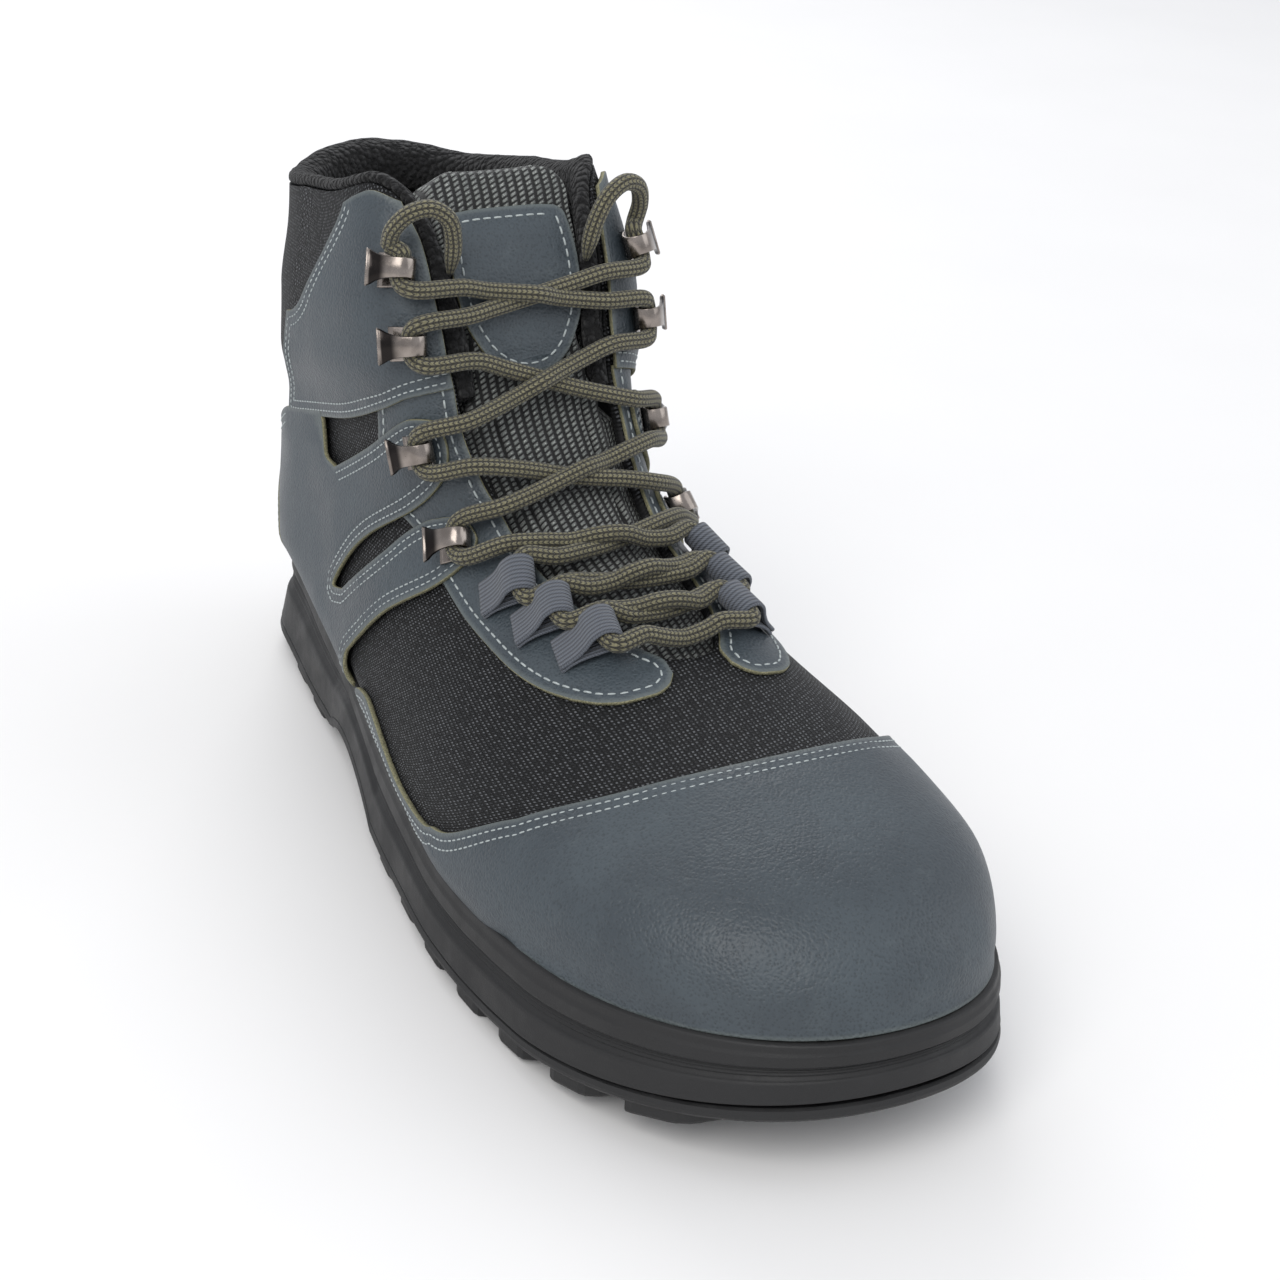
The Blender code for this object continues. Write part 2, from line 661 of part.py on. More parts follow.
def fill_outline(outline, cell):
    """Triangles inside a flat outline: its own points and a grid of inner ones, cell apart."""
    size = np.array([ROW_SIZE, DEGREE_SIZE])
    flat = outline * size
    low, high = flat.min(axis=0), flat.max(axis=0)
    grid = [np.arange(low[i] + cell / 2, high[i], cell) for i in (0, 1)]
    inner = np.stack(np.meshgrid(*grid, indexing="ij"), axis=-1).reshape(-1, 2)
    start, end = flat, np.roll(flat, -1, axis=0)
    run = end - start
    offset = inner[:, None, :] - start[None]
    share = np.clip(np.sum(offset * run, axis=-1) / np.maximum(np.sum(run * run, axis=-1), 1e-9), 0, 1)
    reach = np.linalg.norm(offset - share[..., None] * run, axis=-1).min(axis=1)
    crosses = (start[None, :, 1] > inner[:, None, 1]) != (end[None, :, 1] > inner[:, None, 1])
    with np.errstate(divide="ignore", invalid="ignore"):
        at = start[None, :, 0] + (inner[:, None, 1] - start[None, :, 1]) * run[None, :, 0] / run[None, :, 1]
    inside = (crosses & (inner[:, None, 0] < at)).sum(axis=1) % 2 == 1
    inner = inner[inside & (reach > 0.45 * cell)]
    points = np.concatenate([flat, inner])
    made = delaunay_2d_cdt([tuple(p) for p in points], [], [list(range(len(flat)))], 1, 1e-5)
    return np.array([tuple(v) for v in made[0]]) / size, made[2]


def panel(name, edges, material, lift=PANEL_SEAT, thickness=PANEL, steps=4, cell=6.5, mirror=1):
    """A panel with smooth edges, each a list of (row, degrees) that starts where the last one ended."""
    outline = np.concatenate([smooth_edge(edge, steps) for edge in edges])
    flat, faces = fill_outline(outline, cell)
    rows, degrees = flat[:, 0], wrap(mirror * flat[:, 1])
    places = lifted(rows, degrees, lift(rows, degrees)) if callable(lift) else seated(rows, degrees, lift)
    thing = add_mesh(name, places, faces, material)
    normals = outward(rows, degrees)
    facing = sum(thing.data.polygons[i].normal.dot(normals[thing.data.polygons[i].vertices[0]])
                 for i in range(len(thing.data.polygons)))
    if facing < 0:
        thing.data.flip_normals()
    return thicken(thing, False, thickness)


def above_sole(side, row_from, row_to, count, rise=0.0016):
    """Points of a panel's lower edge, a little above the sole, from one row to another."""
    rows, degrees = feather_line(side, rise)
    at = np.linspace(row_from, row_to, count)
    return [(float(r), float(np.interp(r, rows, degrees))) for r in at]


def throat_margin(row_from, row_to, count, margin=1.6):
    """Points just behind the throat's edge, from one row to another, in degrees on either side."""
    rows, degrees = top_line()
    climb = rows[: int(np.argmax(rows))], degrees[: int(np.argmax(rows))]
    at = np.linspace(row_from, row_to, count)
    return [(float(r), float(np.interp(r, *climb)) - margin) for r in at]


def make_ankle_panel(name, mirror):
    """The high leather panel round the front of the ankle, which carries the two upper hooks."""
    bottom = [(12.62, 80.0), (12.56, 98.0), (12.86, 122.0), (13.12, 140.0), throat_margin(13.22, 13.22, 1)[0]]
    front = throat_margin(13.22, 16.72, 7)
    front[0] = bottom[-1]
    crown = [front[-1], (16.86, 132.0), (16.80, 118.0), (16.66, 108.0)]
    rear = [crown[-1], (16.0, 97.0), (14.9, 91.0), (13.7, 86.0), bottom[0]]
    return panel(name, [bottom, front, crown, rear], LEATHER, mirror=mirror, steps=2)


def make_eyestay(name, mirror):
    """The facing strip along the throat, cut out round the two fingers of the quarter."""
    top = [throat_margin(13.06, 13.06, 1)[0], (12.95, 141.0), (12.66, 117.5)]
    outer_a = [top[-1], (12.2, 115.5), (11.98, 114.6)]
    finger_a = [outer_a[-1], (12.64, 136.0), (12.50, 149.5), (11.72, 152.6), (10.75, 146.4), (10.2, 142.0),
                (9.50, 129.4), (9.40, 126.0)]
    outer_b = [finger_a[-1], (8.98, 127.6)]
    finger_b = [outer_b[-1], (9.26, 136.0), (9.05, 146.6), (8.50, 148.6), (7.88, 139.6), (7.70, 131.0)]
    outer_c = [finger_b[-1], (7.40, 131.0), (6.6, 136.0), (5.9, 146.0)]
    toe_end = [outer_c[-1], (5.62, 156.0), (5.62, 166.0), (5.75, 172.0)]
    inner = [toe_end[-1]] + throat_margin(6.3, 13.06, 12)
    return panel(name, [top, outer_a, finger_a, outer_b, finger_b, outer_c, toe_end, inner], LEATHER,
                 mirror=mirror, steps=2, cell=8.0)


def make_quarter(name, mirror, side):
    """The main side panel from the heel to its two fingers, which carry the lower hooks."""
    sole_edge = above_sole(side, 8.82, 7.35, 5)
    front = [sole_edge[-1], (7.50, 80.0), (7.66, 93.5)]
    finger_b = [front[-1], (7.82, 110.5), (7.86, 125.0), (8.04, 138.0), (8.50, 146.6), (8.92, 145.0),
                (9.10, 135.5), (8.66, 115.5), (8.34, 96.0)]
    window = [finger_b[-1], (8.44, 93.4), (8.60, 96.5)]
    finger_a = [window[-1], (9.14, 111.0), (9.56, 127.5), (10.32, 140.0), (10.85, 144.5), (11.70, 150.6),
                (12.30, 148.0), (12.42, 136.0), (11.80, 111.5), (11.45, 97.0)]
    rise = [finger_a[-1], (11.7, 93.6), (12.42, 92.6)]
    top = [rise[-1], (12.46, 80.0), (12.25, 60.0), (12.2, 44.0), (12.3, 38.2)]
    rear = [top[-1], (11.55, 53.5), (10.6, 65.0), (9.6, 58.0), sole_edge[0]]
    return panel(name, [sole_edge, front, finger_b, window, finger_a, rise, top, rear], LEATHER,
                 lift=CUP_SEAT, mirror=mirror, steps=2, cell=9.0)


def make_heel_counter():
    """The cupped panel round the back of the heel, over the seam."""
    rows = [8.92, 9.5, 10.0, 10.25, 10.45, 10.58]
    outer_side = [above_sole(-1, row, row, 1)[0] for row in rows]
    inner_side = [above_sole(1, row, row, 1)[0] for row in rows]
    lower = [(r, -d) for r, d in outer_side] + inner_side[::-1]
    right = [lower[-1], (9.6, 55.5), (10.6, 62.5), (11.55, 51.0), (12.30, 36.0), (13.3, 22.0)]
    top = [right[-1], (13.55, 11.0), (13.6, 0.0), (13.55, -11.0), (13.3, -22.0)]
    left = [(r, -d) for r, d in right[::-1]]
    return panel("heel_counter", [lower, right, top, left], LEATHER, lift=CUP_SEAT, steps=2, cell=7.0)


# Top edge of the toe cap: share of the way round the sole's edge, and share of the way up the upper
TOE_CAP_TOP = [(0.0, 0.74), (0.05, 0.73), (0.11, 0.66), (0.18, 0.47), (0.25, 0.27), (0.33, 0.185),
               (0.40, 0.17), (0.47, 0.16)]
TOE_CAP_LEVELS = 6
TOE_CAP_RISE = 0.075


def make_toe_cap():
    """The plain cap over the toes, which runs back along the sole as a low guard on each side."""
    around = crowded(UPPER_PLACES)[: UPPER_PLACES // 2 + 1]
    around = np.append(around[around < TOE_CAP_TOP[-1][0] - 0.012], TOE_CAP_TOP[-1][0])
    top = smooth_curve([p[0] for p in TOE_CAP_TOP], [p[1] for p in TOE_CAP_TOP], around)
    sides = []
    for side in (-1, 1):
        columns = []
        for place, height in zip(around, top):
            levels = TOE_CAP_RISE + (height - TOE_CAP_RISE) * np.linspace(0, 1, TOE_CAP_LEVELS)
            rows, degrees = side_grid(side, np.array([place]), levels)
            columns.append(seated(rows[:, 0], side * degrees[:, 0], CUP_SEAT))
        sides.append(np.array(columns))
    points = np.concatenate([sides[0][::-1], sides[1][1:]])
    count, levels, _ = points.shape
    cap = add_mesh("toe_cap", points.reshape(-1, 3), grid_faces(count, levels, False), LEATHER)
    middle = cap.data.polygons[len(cap.data.polygons) // 2]
    if middle.normal.y > 0:
        cap.data.flip_normals()
    return thicken(cap, False, PANEL)


def make_label():
    """The plain leather shield on the tongue's face."""
    shape = [(16.55, 0.46), (15.8, 0.46), (14.9, 0.41), (14.2, 0.33), (13.6, 0.20), (13.35, 0.0)]
    right = [(row, float(front_degrees(row, share))) for row, share in shape]
    left = [(row, 360.0 - degrees) for row, degrees in right[::-1]]
    top = [left[-1], (16.62, 180.0), right[0]]
    return panel("tongue_label", [right, left, top], LEATHER, steps=2, cell=9.0,
                 lift=lambda rows, degrees: np.full(len(rows), GAP - TONGUE_RECESS), thickness=PANEL)


# Collar lining: a padded band inside the collar that rolls out past the edge of the leather

LINING_START = 12.8
ROLL_SEAT = 0.0009
SIDE_STEP = 0.01
ROLL_REACH = [(12.8, 0.0042), (14.2, 0.0054), (15.0, 0.0050), (16.3, 0.0040), (16.8, 0.0032), (17.0, 0.0030)]


def lining_station(place, side):
    """One section of the lining at a share of the way round the sole's edge: eight world points."""
    nearby = np.clip([place, place - SIDE_STEP, place + SIDE_STEP], 0.0, 1.0)
    rows, degrees = side_grid(side, nearby, np.array([1 - 1 / (UPPER_LEVELS - 1), 1.0]))
    places, normals = surface(rows, side * degrees), outward(rows, side * degrees)
    deep, edge = places[:, 0]
    out_deep, out_edge = normals[:, 0]
    beyond = unit(np.cross(out_edge, places[1, 2] - places[1, 1]))
    if beyond @ (edge - deep) < 0:
        beyond = -beyond
    row = rows[1, 0]
    reach = np.interp(row, *zip(*ROLL_REACH))
    hidden = WALL + LINING_SEAT
    return np.array([
        deep - out_deep * hidden,
        deep - out_deep * (hidden + 0.3 * LINING),
        0.5 * (deep + edge) - 0.5 * (out_deep + out_edge) * (hidden + LINING),
        edge + beyond * 0.2 * reach - out_edge * (hidden + LINING),
        edge + beyond * reach - out_edge * 0.8 * (hidden + LINING) / 2,
        edge + beyond * 0.75 * reach - out_edge * 0.0006,
        edge + beyond * ROLL_SEAT - out_edge * 0.0006,
        edge + beyond * ROLL_SEAT - out_edge * hidden,
    ]), row


def make_lining():
    stations = []
    around = crowded(UPPER_PLACES)
    for place, side in [(p, -1) for p in around] + [(p, 1) for p in around[-2::-1]]:
        points, row = lining_station(place, side)
        if row >= LINING_START:
            stations.append(points)
    stations = np.array(stations)
    count, ring, _ = stations.shape
    faces = grid_faces(count, ring, True)
    faces += [tuple(range(ring)), tuple((count - 1) * ring + i for i in range(ring))]
    return face_out(add_mesh("collar_lining", stations.reshape(-1, 3), faces, FLEECE))


# Hooks and webbing loops

# Places of the fittings from the top down: row and degrees on the outer and on the inner side
HOOK_PLACES = [(15.75, 144.0, 139.5), (14.40, 146.5, 141.5), (11.62, 138.5, 134.5), (8.40, 140.0, 138.5)]
LOOP_PLACES = [(7.46, 147.0, 146.0), (6.92, 150.5, 149.5), (6.42, 157.0, 156.0)]
LOOP_TAIL = 0.0075


def fitting_frame(row, degrees):
    """At a place on the upper: the point, the way to the throat, the way up it, and straight out."""
    side = math.copysign(1.0, degrees)
    base, normal = surface(row, degrees), outward(row, degrees)
    toward = surface(row, degrees + side) - base
    toward = unit(toward - normal * (toward @ normal))
    along = np.cross(normal, toward)
    if along @ (surface(row + 0.05, degrees) - base) < 0:
        along = -along
    return base, toward, along, normal


def panel_top(row, degrees, back, half):
    """Height of the panel's face over the upper's flat tangent, the most under a fitting's plate."""
    base, toward, along, normal = fitting_frame(row, degrees)
    most = 0.0
    for across, up in ((0, 0), (-back, half), (-back, -half), (half, half), (half, -half)):
        start = base + toward * across + along * up + normal * SEARCH
        hit = UPPER_FACETS.ray_cast(tuple(start), tuple(-normal), 2 * SEARCH)
        if hit[3] is not None:
            most = max(most, SEARCH - hit[3])
    return most + CUP_SEAT + PANEL


def make_hook(name, row, degrees):
    """A speed hook: a plate on the panel, bent round at the throat side and flared at its open end."""
    base, toward, along, normal = fitting_frame(row, degrees)
    seat = panel_top(row, degrees, HOOK_WIDTH / 2, HOOK_WIDTH / 2) + GAP + HOOK_PLATE / 2
    half = HOOK_WIDTH / 2
    profile = [(-0.0042, 0.0, half), (0.0042, 0.0, half * 0.85), (0.0056, 0.0014, half * 0.66),
               (0.0059, 0.0032, half * 0.62), (0.0051, 0.0050, half * 0.70), (0.0034, 0.0058, half * 0.84),
               (-0.0034, 0.0062, half), (-0.0052, 0.0071, half)]
    line = np.array([p[:2] for p in profile])
    run = unit(np.gradient(line, axis=0))
    turn = np.stack([-run[:, 1], run[:, 0]], axis=1) * HOOK_PLATE / 2
    points = [base + toward * (h + s * th) + normal * (seat + n + s * tn) + along * w * half_width
              for (h, n, half_width), (th, tn) in zip(profile, turn)
              for s, w in ((1, 1), (1, -1), (-1, -1), (-1, 1))]
    faces = grid_faces(len(profile), 4, True) + [(0, 1, 2, 3), tuple(len(points) - 4 + i for i in range(4))]
    return face_out(add_mesh(name, points, faces, METAL))


def make_loop(name, row, degrees):
    """A folded band of webbing, stitched down behind, with the eye for the lace at the throat side."""
    base, toward, along, normal = fitting_frame(row, degrees)
    seat = panel_top(row, degrees, LOOP_TAIL, LOOP_WIDTH / 2) + 2 * GAP
    outer = [(-LOOP_TAIL, 0.0), (-0.001, 0.0), (0.0040, 0.0), (0.0070, 0.0012), (0.0082, 0.0036),
             (0.0070, 0.0062), (0.0042, 0.0074), (0.0012, 0.0062), (-0.0018, 0.0034), (-LOOP_TAIL, 0.0022)]
    inner = [(0.0000, 0.0012), (0.0012, 0.0011), (0.0040, 0.0012), (0.0060, 0.0021), (0.0070, 0.0037),
             (0.0061, 0.0054), (0.0041, 0.0061), (0.0021, 0.0052), (0.0008, 0.0036), (0.0000, 0.0018)]
    points = [base + toward * h + normal * (seat + n) + along * w * LOOP_WIDTH / 2
              for (ho, no), (hi, ni) in zip(outer, inner)
              for h, n, w in ((ho, no, 1), (ho, no, -1), (hi, ni, -1), (hi, ni, 1))]
    count = len(outer)
    faces = [(i * 4 + j, (i + 1) % count * 4 + j, (i + 1) % count * 4 + (j + 1) % 4, i * 4 + (j + 1) % 4)
             for i in range(count) for j in range(4)]
    return face_out(add_mesh(name, points, faces, WEBBING))


# Laces: joined crossings over the tongue, a bar at the bottom, and two free ends

# Height of a strand's centre over the upper's surface: share of the way to the throat's edge, height
STRAND_LIFT = [(0.0, 0.0012), (0.55, 0.0026), (0.90, 0.0049), (1.15, 0.0058), (1.5, 0.0060)]
OVER_LIFT = 0.0034
OVER_WIDTH = 0.15
STRAND_INSET = 0.0094
STRAND_SPREAD = 0.0046
STRAND_POINTS = 7


def cord_curve(name, points, collection, resolution):
    """A round cord as a curve with a bevel and filled caps."""
    curve = bpy.data.curves.new(name, "CURVE")
    curve.dimensions = "3D"
    curve.bevel_depth = LACE / 2
    curve.bevel_resolution = resolution
    curve.use_fill_caps = True
    spline = curve.splines.new("POLY")
    spline.points.add(len(points) - 1)
    for knot, point in zip(spline.points, points):
        knot.co = (*map(float, point), 1.0)
    thing = bpy.data.objects.new(name, curve)
    collection.objects.link(thing)
    curve.materials.append(BRAID)
    return thing


def strand_end(row, degrees, up):
    """Row and signed share of the half width where a strand stops, clear of its hook or loop."""
    side = math.copysign(1.0, degrees)
    here = surface(row, degrees)
    per_degree = np.linalg.norm(surface(row, degrees + side) - here)
    per_row = np.linalg.norm(surface(row + 0.1, degrees) - here) * 10
    turned = math.radians(abs(degrees) + STRAND_INSET / per_degree)
    high = float(section_values(row)[8])
    share = math.sin(turned) ** (2 / high)
    return row + up * STRAND_SPREAD / per_row, side * share


def strand(start, end, over):
    """World points of one strand over the front, from one (row, share) to another."""
    at = np.linspace(0, 1, STRAND_POINTS)
    rows = start[0] + at * (end[0] - start[0])
    share = start[1] + at * (end[1] - start[1])
    degrees = np.where(share < 0, -1, 1) * front_degrees(rows, share)
    throat = np.interp(rows, *zip(*THROAT_EDGE))
    lift = np.interp(np.abs(share) / throat, *zip(*STRAND_LIFT)) + over * np.exp(-(share / OVER_WIDTH) ** 2)
    return lifted(rows, degrees, lift)


def make_crossing(name, upper_places, lower_places):
    """Two strands joined where one crosses over the other, between two pairs of fittings."""
    row_u, outer_u, inner_u = upper_places
    row_l, outer_l, inner_l = lower_places
    over = strand(strand_end(row_u, -outer_u, -1), strand_end(row_l, inner_l, 1), OVER_LIFT)
    under = strand(strand_end(row_u, inner_u, -1), strand_end(row_l, -outer_l, 1), 0.0)
    pieces = []
    for points, collection in ((over, MODEL), (under, CUTTERS)):
        curve = cord_curve(name + "_curve", points, collection, 1)
        bpy.context.view_layer.update()
        mesh = bpy.data.meshes.new_from_object(curve.evaluated_get(bpy.context.evaluated_depsgraph_get()))
        bpy.data.objects.remove(curve, do_unlink=True)
        piece = bpy.data.objects.new(name, mesh)
        collection.objects.link(piece)
        pieces.append(piece)
    join = pieces[0].modifiers.new("crossing", "BOOLEAN")
    join.operation = "UNION"
    join.solver = "EXACT"
    join.object = pieces[1]
    pieces[1].hide_render = True
    pieces[1].display_type = "WIRE"


def make_bar(name, places):
    """The straight run of lace between the two lowest loops."""
    row, outer, inner = places
    cord_curve(name, strand(strand_end(row, -outer, -1), strand_end(row, inner, -1), 0.0), MODEL, 1)


# Route of each free end in metres, from the top hook over in an arc and down beside the tongue's label
LACE_ENDS = {
    "lateral": [(-0.0336, -0.0671, 0.1495), (-0.0334, -0.0694, 0.1540), (-0.0302, -0.0720, 0.1582),
                (-0.0254, -0.0736, 0.1594), (-0.0212, -0.0740, 0.1566), (-0.0195, -0.0731, 0.1512),
                (-0.0193, -0.0722, 0.1464), (-0.0193, -0.0719, 0.1426)],
    "medial": [(0.0332, -0.0655, 0.1492), (0.0336, -0.0672, 0.1546), (0.0312, -0.0698, 0.1596),
               (0.0266, -0.0718, 0.1612), (0.0218, -0.0730, 0.1586), (0.0186, -0.0730, 0.1528),
               (0.0174, -0.0721, 0.1466), (0.0172, -0.0720, 0.1428)],
}


for side, (word, mirror) in {-1: ("lateral", -1), 1: ("medial", 1)}.items():
    cord_curve("lace_end_" + word, LACE_ENDS[word], MODEL, 1)
    make_ankle_panel("ankle_panel_" + word, mirror)
    make_eyestay("eyestay_" + word, mirror)
    make_quarter("quarter_" + word, mirror, side)
    for number, (row, *degrees) in enumerate(HOOK_PLACES, 1):
        make_hook(f"hook_{word}_{number}", row, side * degrees[mirror > 0])
    for number, (row, *degrees) in enumerate(LOOP_PLACES, 1):
        make_loop(f"lace_loop_{word}_{number}", row, side * degrees[mirror > 0])
make_heel_counter()
make_toe_cap()
make_label()
make_lining()

PAIRS = HOOK_PLACES + LOOP_PLACES
for number in range(1, len(PAIRS)):
    make_crossing(f"lace_crossing_{number}", PAIRS[number - 1], PAIRS[number])
make_bar("lace_bar", PAIRS[-1])

make_upper()
make_midsole()
make_outsole()
make_insole()
make_tongue()
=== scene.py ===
"""Looks of a right-foot wading boot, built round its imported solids: metres, +Z up, toe to -Y."""

import math

import bmesh
import bpy
import numpy as np
from mathutils import Matrix, Vector
from mathutils.geometry import delaunay_2d_cdt


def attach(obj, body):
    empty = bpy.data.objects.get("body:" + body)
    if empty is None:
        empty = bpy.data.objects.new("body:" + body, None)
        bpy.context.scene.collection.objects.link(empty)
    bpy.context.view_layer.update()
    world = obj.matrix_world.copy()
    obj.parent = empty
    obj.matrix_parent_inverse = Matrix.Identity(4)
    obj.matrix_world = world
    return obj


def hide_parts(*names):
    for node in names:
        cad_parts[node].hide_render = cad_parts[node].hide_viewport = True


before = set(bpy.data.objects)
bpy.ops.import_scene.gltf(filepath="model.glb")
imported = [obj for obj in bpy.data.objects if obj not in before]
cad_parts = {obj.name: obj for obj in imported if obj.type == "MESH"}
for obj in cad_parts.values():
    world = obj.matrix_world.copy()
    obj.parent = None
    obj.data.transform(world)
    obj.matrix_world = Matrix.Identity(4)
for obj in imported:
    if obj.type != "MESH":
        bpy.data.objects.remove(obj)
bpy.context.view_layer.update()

# Camera, floor and light: the view of the outer side and the front, a little from above,
# on a plain pale floor under large soft lamps.

TARGET = Vector((0.0153, -0.1125, 0.0564))
CAMERA_AZIMUTH = math.radians(-28.7)
CAMERA_ELEVATION = math.radians(26.0)
CAMERA_DISTANCE = 0.56
CAMERA_ROLL = math.radians(3.0)
CAMERA_LENS = 0.063
FLOOR_SIZE = 60.0

towards = Vector((math.sin(CAMERA_AZIMUTH) * math.cos(CAMERA_ELEVATION),
                  -math.cos(CAMERA_AZIMUTH) * math.cos(CAMERA_ELEVATION), math.sin(CAMERA_ELEVATION)))
lens = bpy.data.cameras.new("camera")
lens.lens = CAMERA_LENS * 1000
lens.sensor_width = 36.0
lens.clip_start = 0.01
camera = bpy.data.objects.new("camera", lens)
bpy.context.scene.collection.objects.link(camera)
aim = (-towards).to_track_quat("-Z", "Y").to_matrix().to_4x4()
camera.matrix_world = (Matrix.Translation(TARGET + CAMERA_DISTANCE * towards) @ aim
                       @ Matrix.Rotation(CAMERA_ROLL, 4, "Z"))
bpy.context.scene.camera = camera


class Shade:
    """A shader socket with the operators of plain arithmetic, so that patterns read as formulas."""

    def __init__(self, tree, socket):
        self.tree, self.socket = tree, socket

    def node(self, kind, settings=None, **inputs):
        """A node of a kind: its settings first, then the values or links of its named sockets."""
        made = self.tree.nodes.new(kind)
        for key, value in (settings or {}).items():
            if key == "stops":
                while len(made.color_ramp.elements) < len(value):
                    made.color_ramp.elements.new(0.5)
                for element, (place, colour) in zip(made.color_ramp.elements, value):
                    element.position, element.color = place, (*colour, 1.0)
            else:
                setattr(made, key, value)
        for key, value in inputs.items():
            target = made.inputs[int(key[1:])] if key[0] == "i" and key[1:].isdigit() else made.inputs[key]
            if isinstance(value, Shade):
                self.tree.links.new(value.socket, target)
            else:
                target.default_value = value
        return made

    def maths(self, operation, other=0.0):
        """One step of arithmetic on this and another value."""
        made = self.node("ShaderNodeMath", {"operation": operation}, i0=self, i1=other)
        return Shade(self.tree, made.outputs[0])

    def __add__(self, other):
        return self.maths("ADD", other)

    __radd__ = __add__

    def __mul__(self, other):
        return self.maths("MULTIPLY", other)

    __rmul__ = __mul__

    def __sub__(self, other):
        return self.maths("SUBTRACT", other)

    def __rsub__(self, other):
        return self.maths("MULTIPLY", -1.0).maths("ADD", other)

    def sine(self):
        return self.maths("SINE")

    def size(self):
        return self.maths("ABSOLUTE")

    def fraction(self):
        return self.maths("FRACT")

    def ramp(self, low, high, out_low=0.0, out_high=1.0):
        """A smooth step from one value to another as this goes from low to high."""
        made = self.node("ShaderNodeMapRange", {"interpolation_type": "SMOOTHSTEP"},
                         i0=self, i1=low, i2=high, i3=out_low, i4=out_high)
        return Shade(self.tree, made.outputs[0])

    def blend(self, low, high):
        """A colour between two, as this goes from 0 to 1."""
        made = self.node("ShaderNodeMix", {"data_type": "RGBA"}, i0=self, i6=colour_of(low),
                         i7=colour_of(high))
        return Shade(self.tree, made.outputs[2])


def colour_of(value):
    """A colour for a socket: a link as it is, or red, green and blue made opaque."""
    return value if isinstance(value, Shade) else (*value, 1.0)


def srgb(red, green, blue):
    """Linear colour of a screen colour given from 0 to 255."""
    return tuple((c / 255 / 12.92) if c / 255 < 0.04045 else ((c / 255 + 0.055) / 1.055) ** 2.4
                 for c in (red, green, blue))


class Finish:
    """A material with one Principled shader, and the patterns it is made from."""

    def __init__(self, name, roughness=0.5, metallic=0.0, **fixed):
        self.material = bpy.data.materials.new(name)
        self.material.use_nodes = True
        self.tree = self.material.node_tree
        self.shader = self.tree.nodes["Principled BSDF"]
        self.shader.inputs["Roughness"].default_value = roughness
        self.shader.inputs["Metallic"].default_value = metallic
        for key, value in fixed.items():
            self.shader.inputs[key.replace("_", " ")].default_value = value
        self.any = Shade(self.tree, None)

    def place(self):
        """Object coordinates, the same as world metres on every piece."""
        return Shade(self.tree, self.any.node("ShaderNodeTexCoord").outputs["Object"])

    def value(self, name):
        """A named value that the mesh carries at each point."""
        made = self.any.node("ShaderNodeAttribute", {"attribute_name": name})
        return Shade(self.tree, made.outputs["Fac"])

    def across(self):
        """The piece's own UV map, as its two values."""
        made = self.any.node("ShaderNodeUVMap", {"uv_map": "cloth"})
        split = self.any.node("ShaderNodeSeparateXYZ", Vector=Shade(self.tree, made.outputs["UV"]))
        return Shade(self.tree, split.outputs[0]), Shade(self.tree, split.outputs[1])

    def noise(self, scale, detail=2.0, roughness=0.5):
        """Cloudy noise from 0 to 1, with a scale in waves a metre."""
        made = self.any.node("ShaderNodeTexNoise", Vector=self.place(), Scale=scale, Detail=detail,
                             Roughness=roughness)
        return Shade(self.tree, made.outputs["Fac"])

    def cells(self, scale, feature="F1"):
        """Distance to the nearest of scattered points, with a scale in points a metre."""
        made = self.any.node("ShaderNodeTexVoronoi", {"feature": feature}, Vector=self.place(),
                             Scale=scale)
        return Shade(self.tree, made.outputs["Distance"])

    def colour(self, value):
        """The surface's colour."""
        self.link(value, "Base Color")

    def link(self, value, name):
        """A pattern, or one number for the whole surface, on a named socket of the shader."""
        if isinstance(value, Shade):
            self.tree.links.new(value.socket, self.shader.inputs[name])
        else:
            self.shader.inputs[name].default_value = value

    def bump(self, height, distance):
        """Relief of a height pattern, whose 1 stands a distance in metres proud of its 0."""
        made = self.any.node("ShaderNodeBump", Height=height, Distance=distance, Strength=1.0)
        self.link(Shade(self.tree, made.outputs["Normal"]), "Normal")


def area_lamp(name, place, size, power, colour):
    """A large soft lamp that points at the boot, its power in watts."""
    light = bpy.data.lights.new(name, "AREA")
    light.shape, light.size, light.size_y = "RECTANGLE", size[0], size[1]
    light.energy, light.color = power, colour
    lamp = bpy.data.objects.new(name, light)
    lamp.location = place
    lamp.rotation_euler = (TARGET - Vector(place)).to_track_quat("-Z", "Y").to_euler()
    bpy.context.scene.collection.objects.link(lamp)


area_lamp("key_lamp", (-0.9, -0.9, 1.3), (1.1, 1.1), 15.0, (1.0, 0.985, 0.96))
area_lamp("fill_lamp", (1.3, -0.9, 0.9), (1.4, 1.4), 6.0, (0.95, 0.975, 1.0))
area_lamp("back_lamp", (0.3, 1.3, 1.1), (1.2, 0.8), 9.0, (1.0, 1.0, 1.0))
sky = bpy.data.worlds.new("studio")
bpy.context.scene.world = sky
sky.use_nodes = True
sky.node_tree.nodes["Background"].inputs["Color"].default_value = (0.93, 0.95, 1.0, 1.0)
sky.node_tree.nodes["Background"].inputs["Strength"].default_value = 0.72
bpy.context.scene.view_settings.view_transform = "Standard"

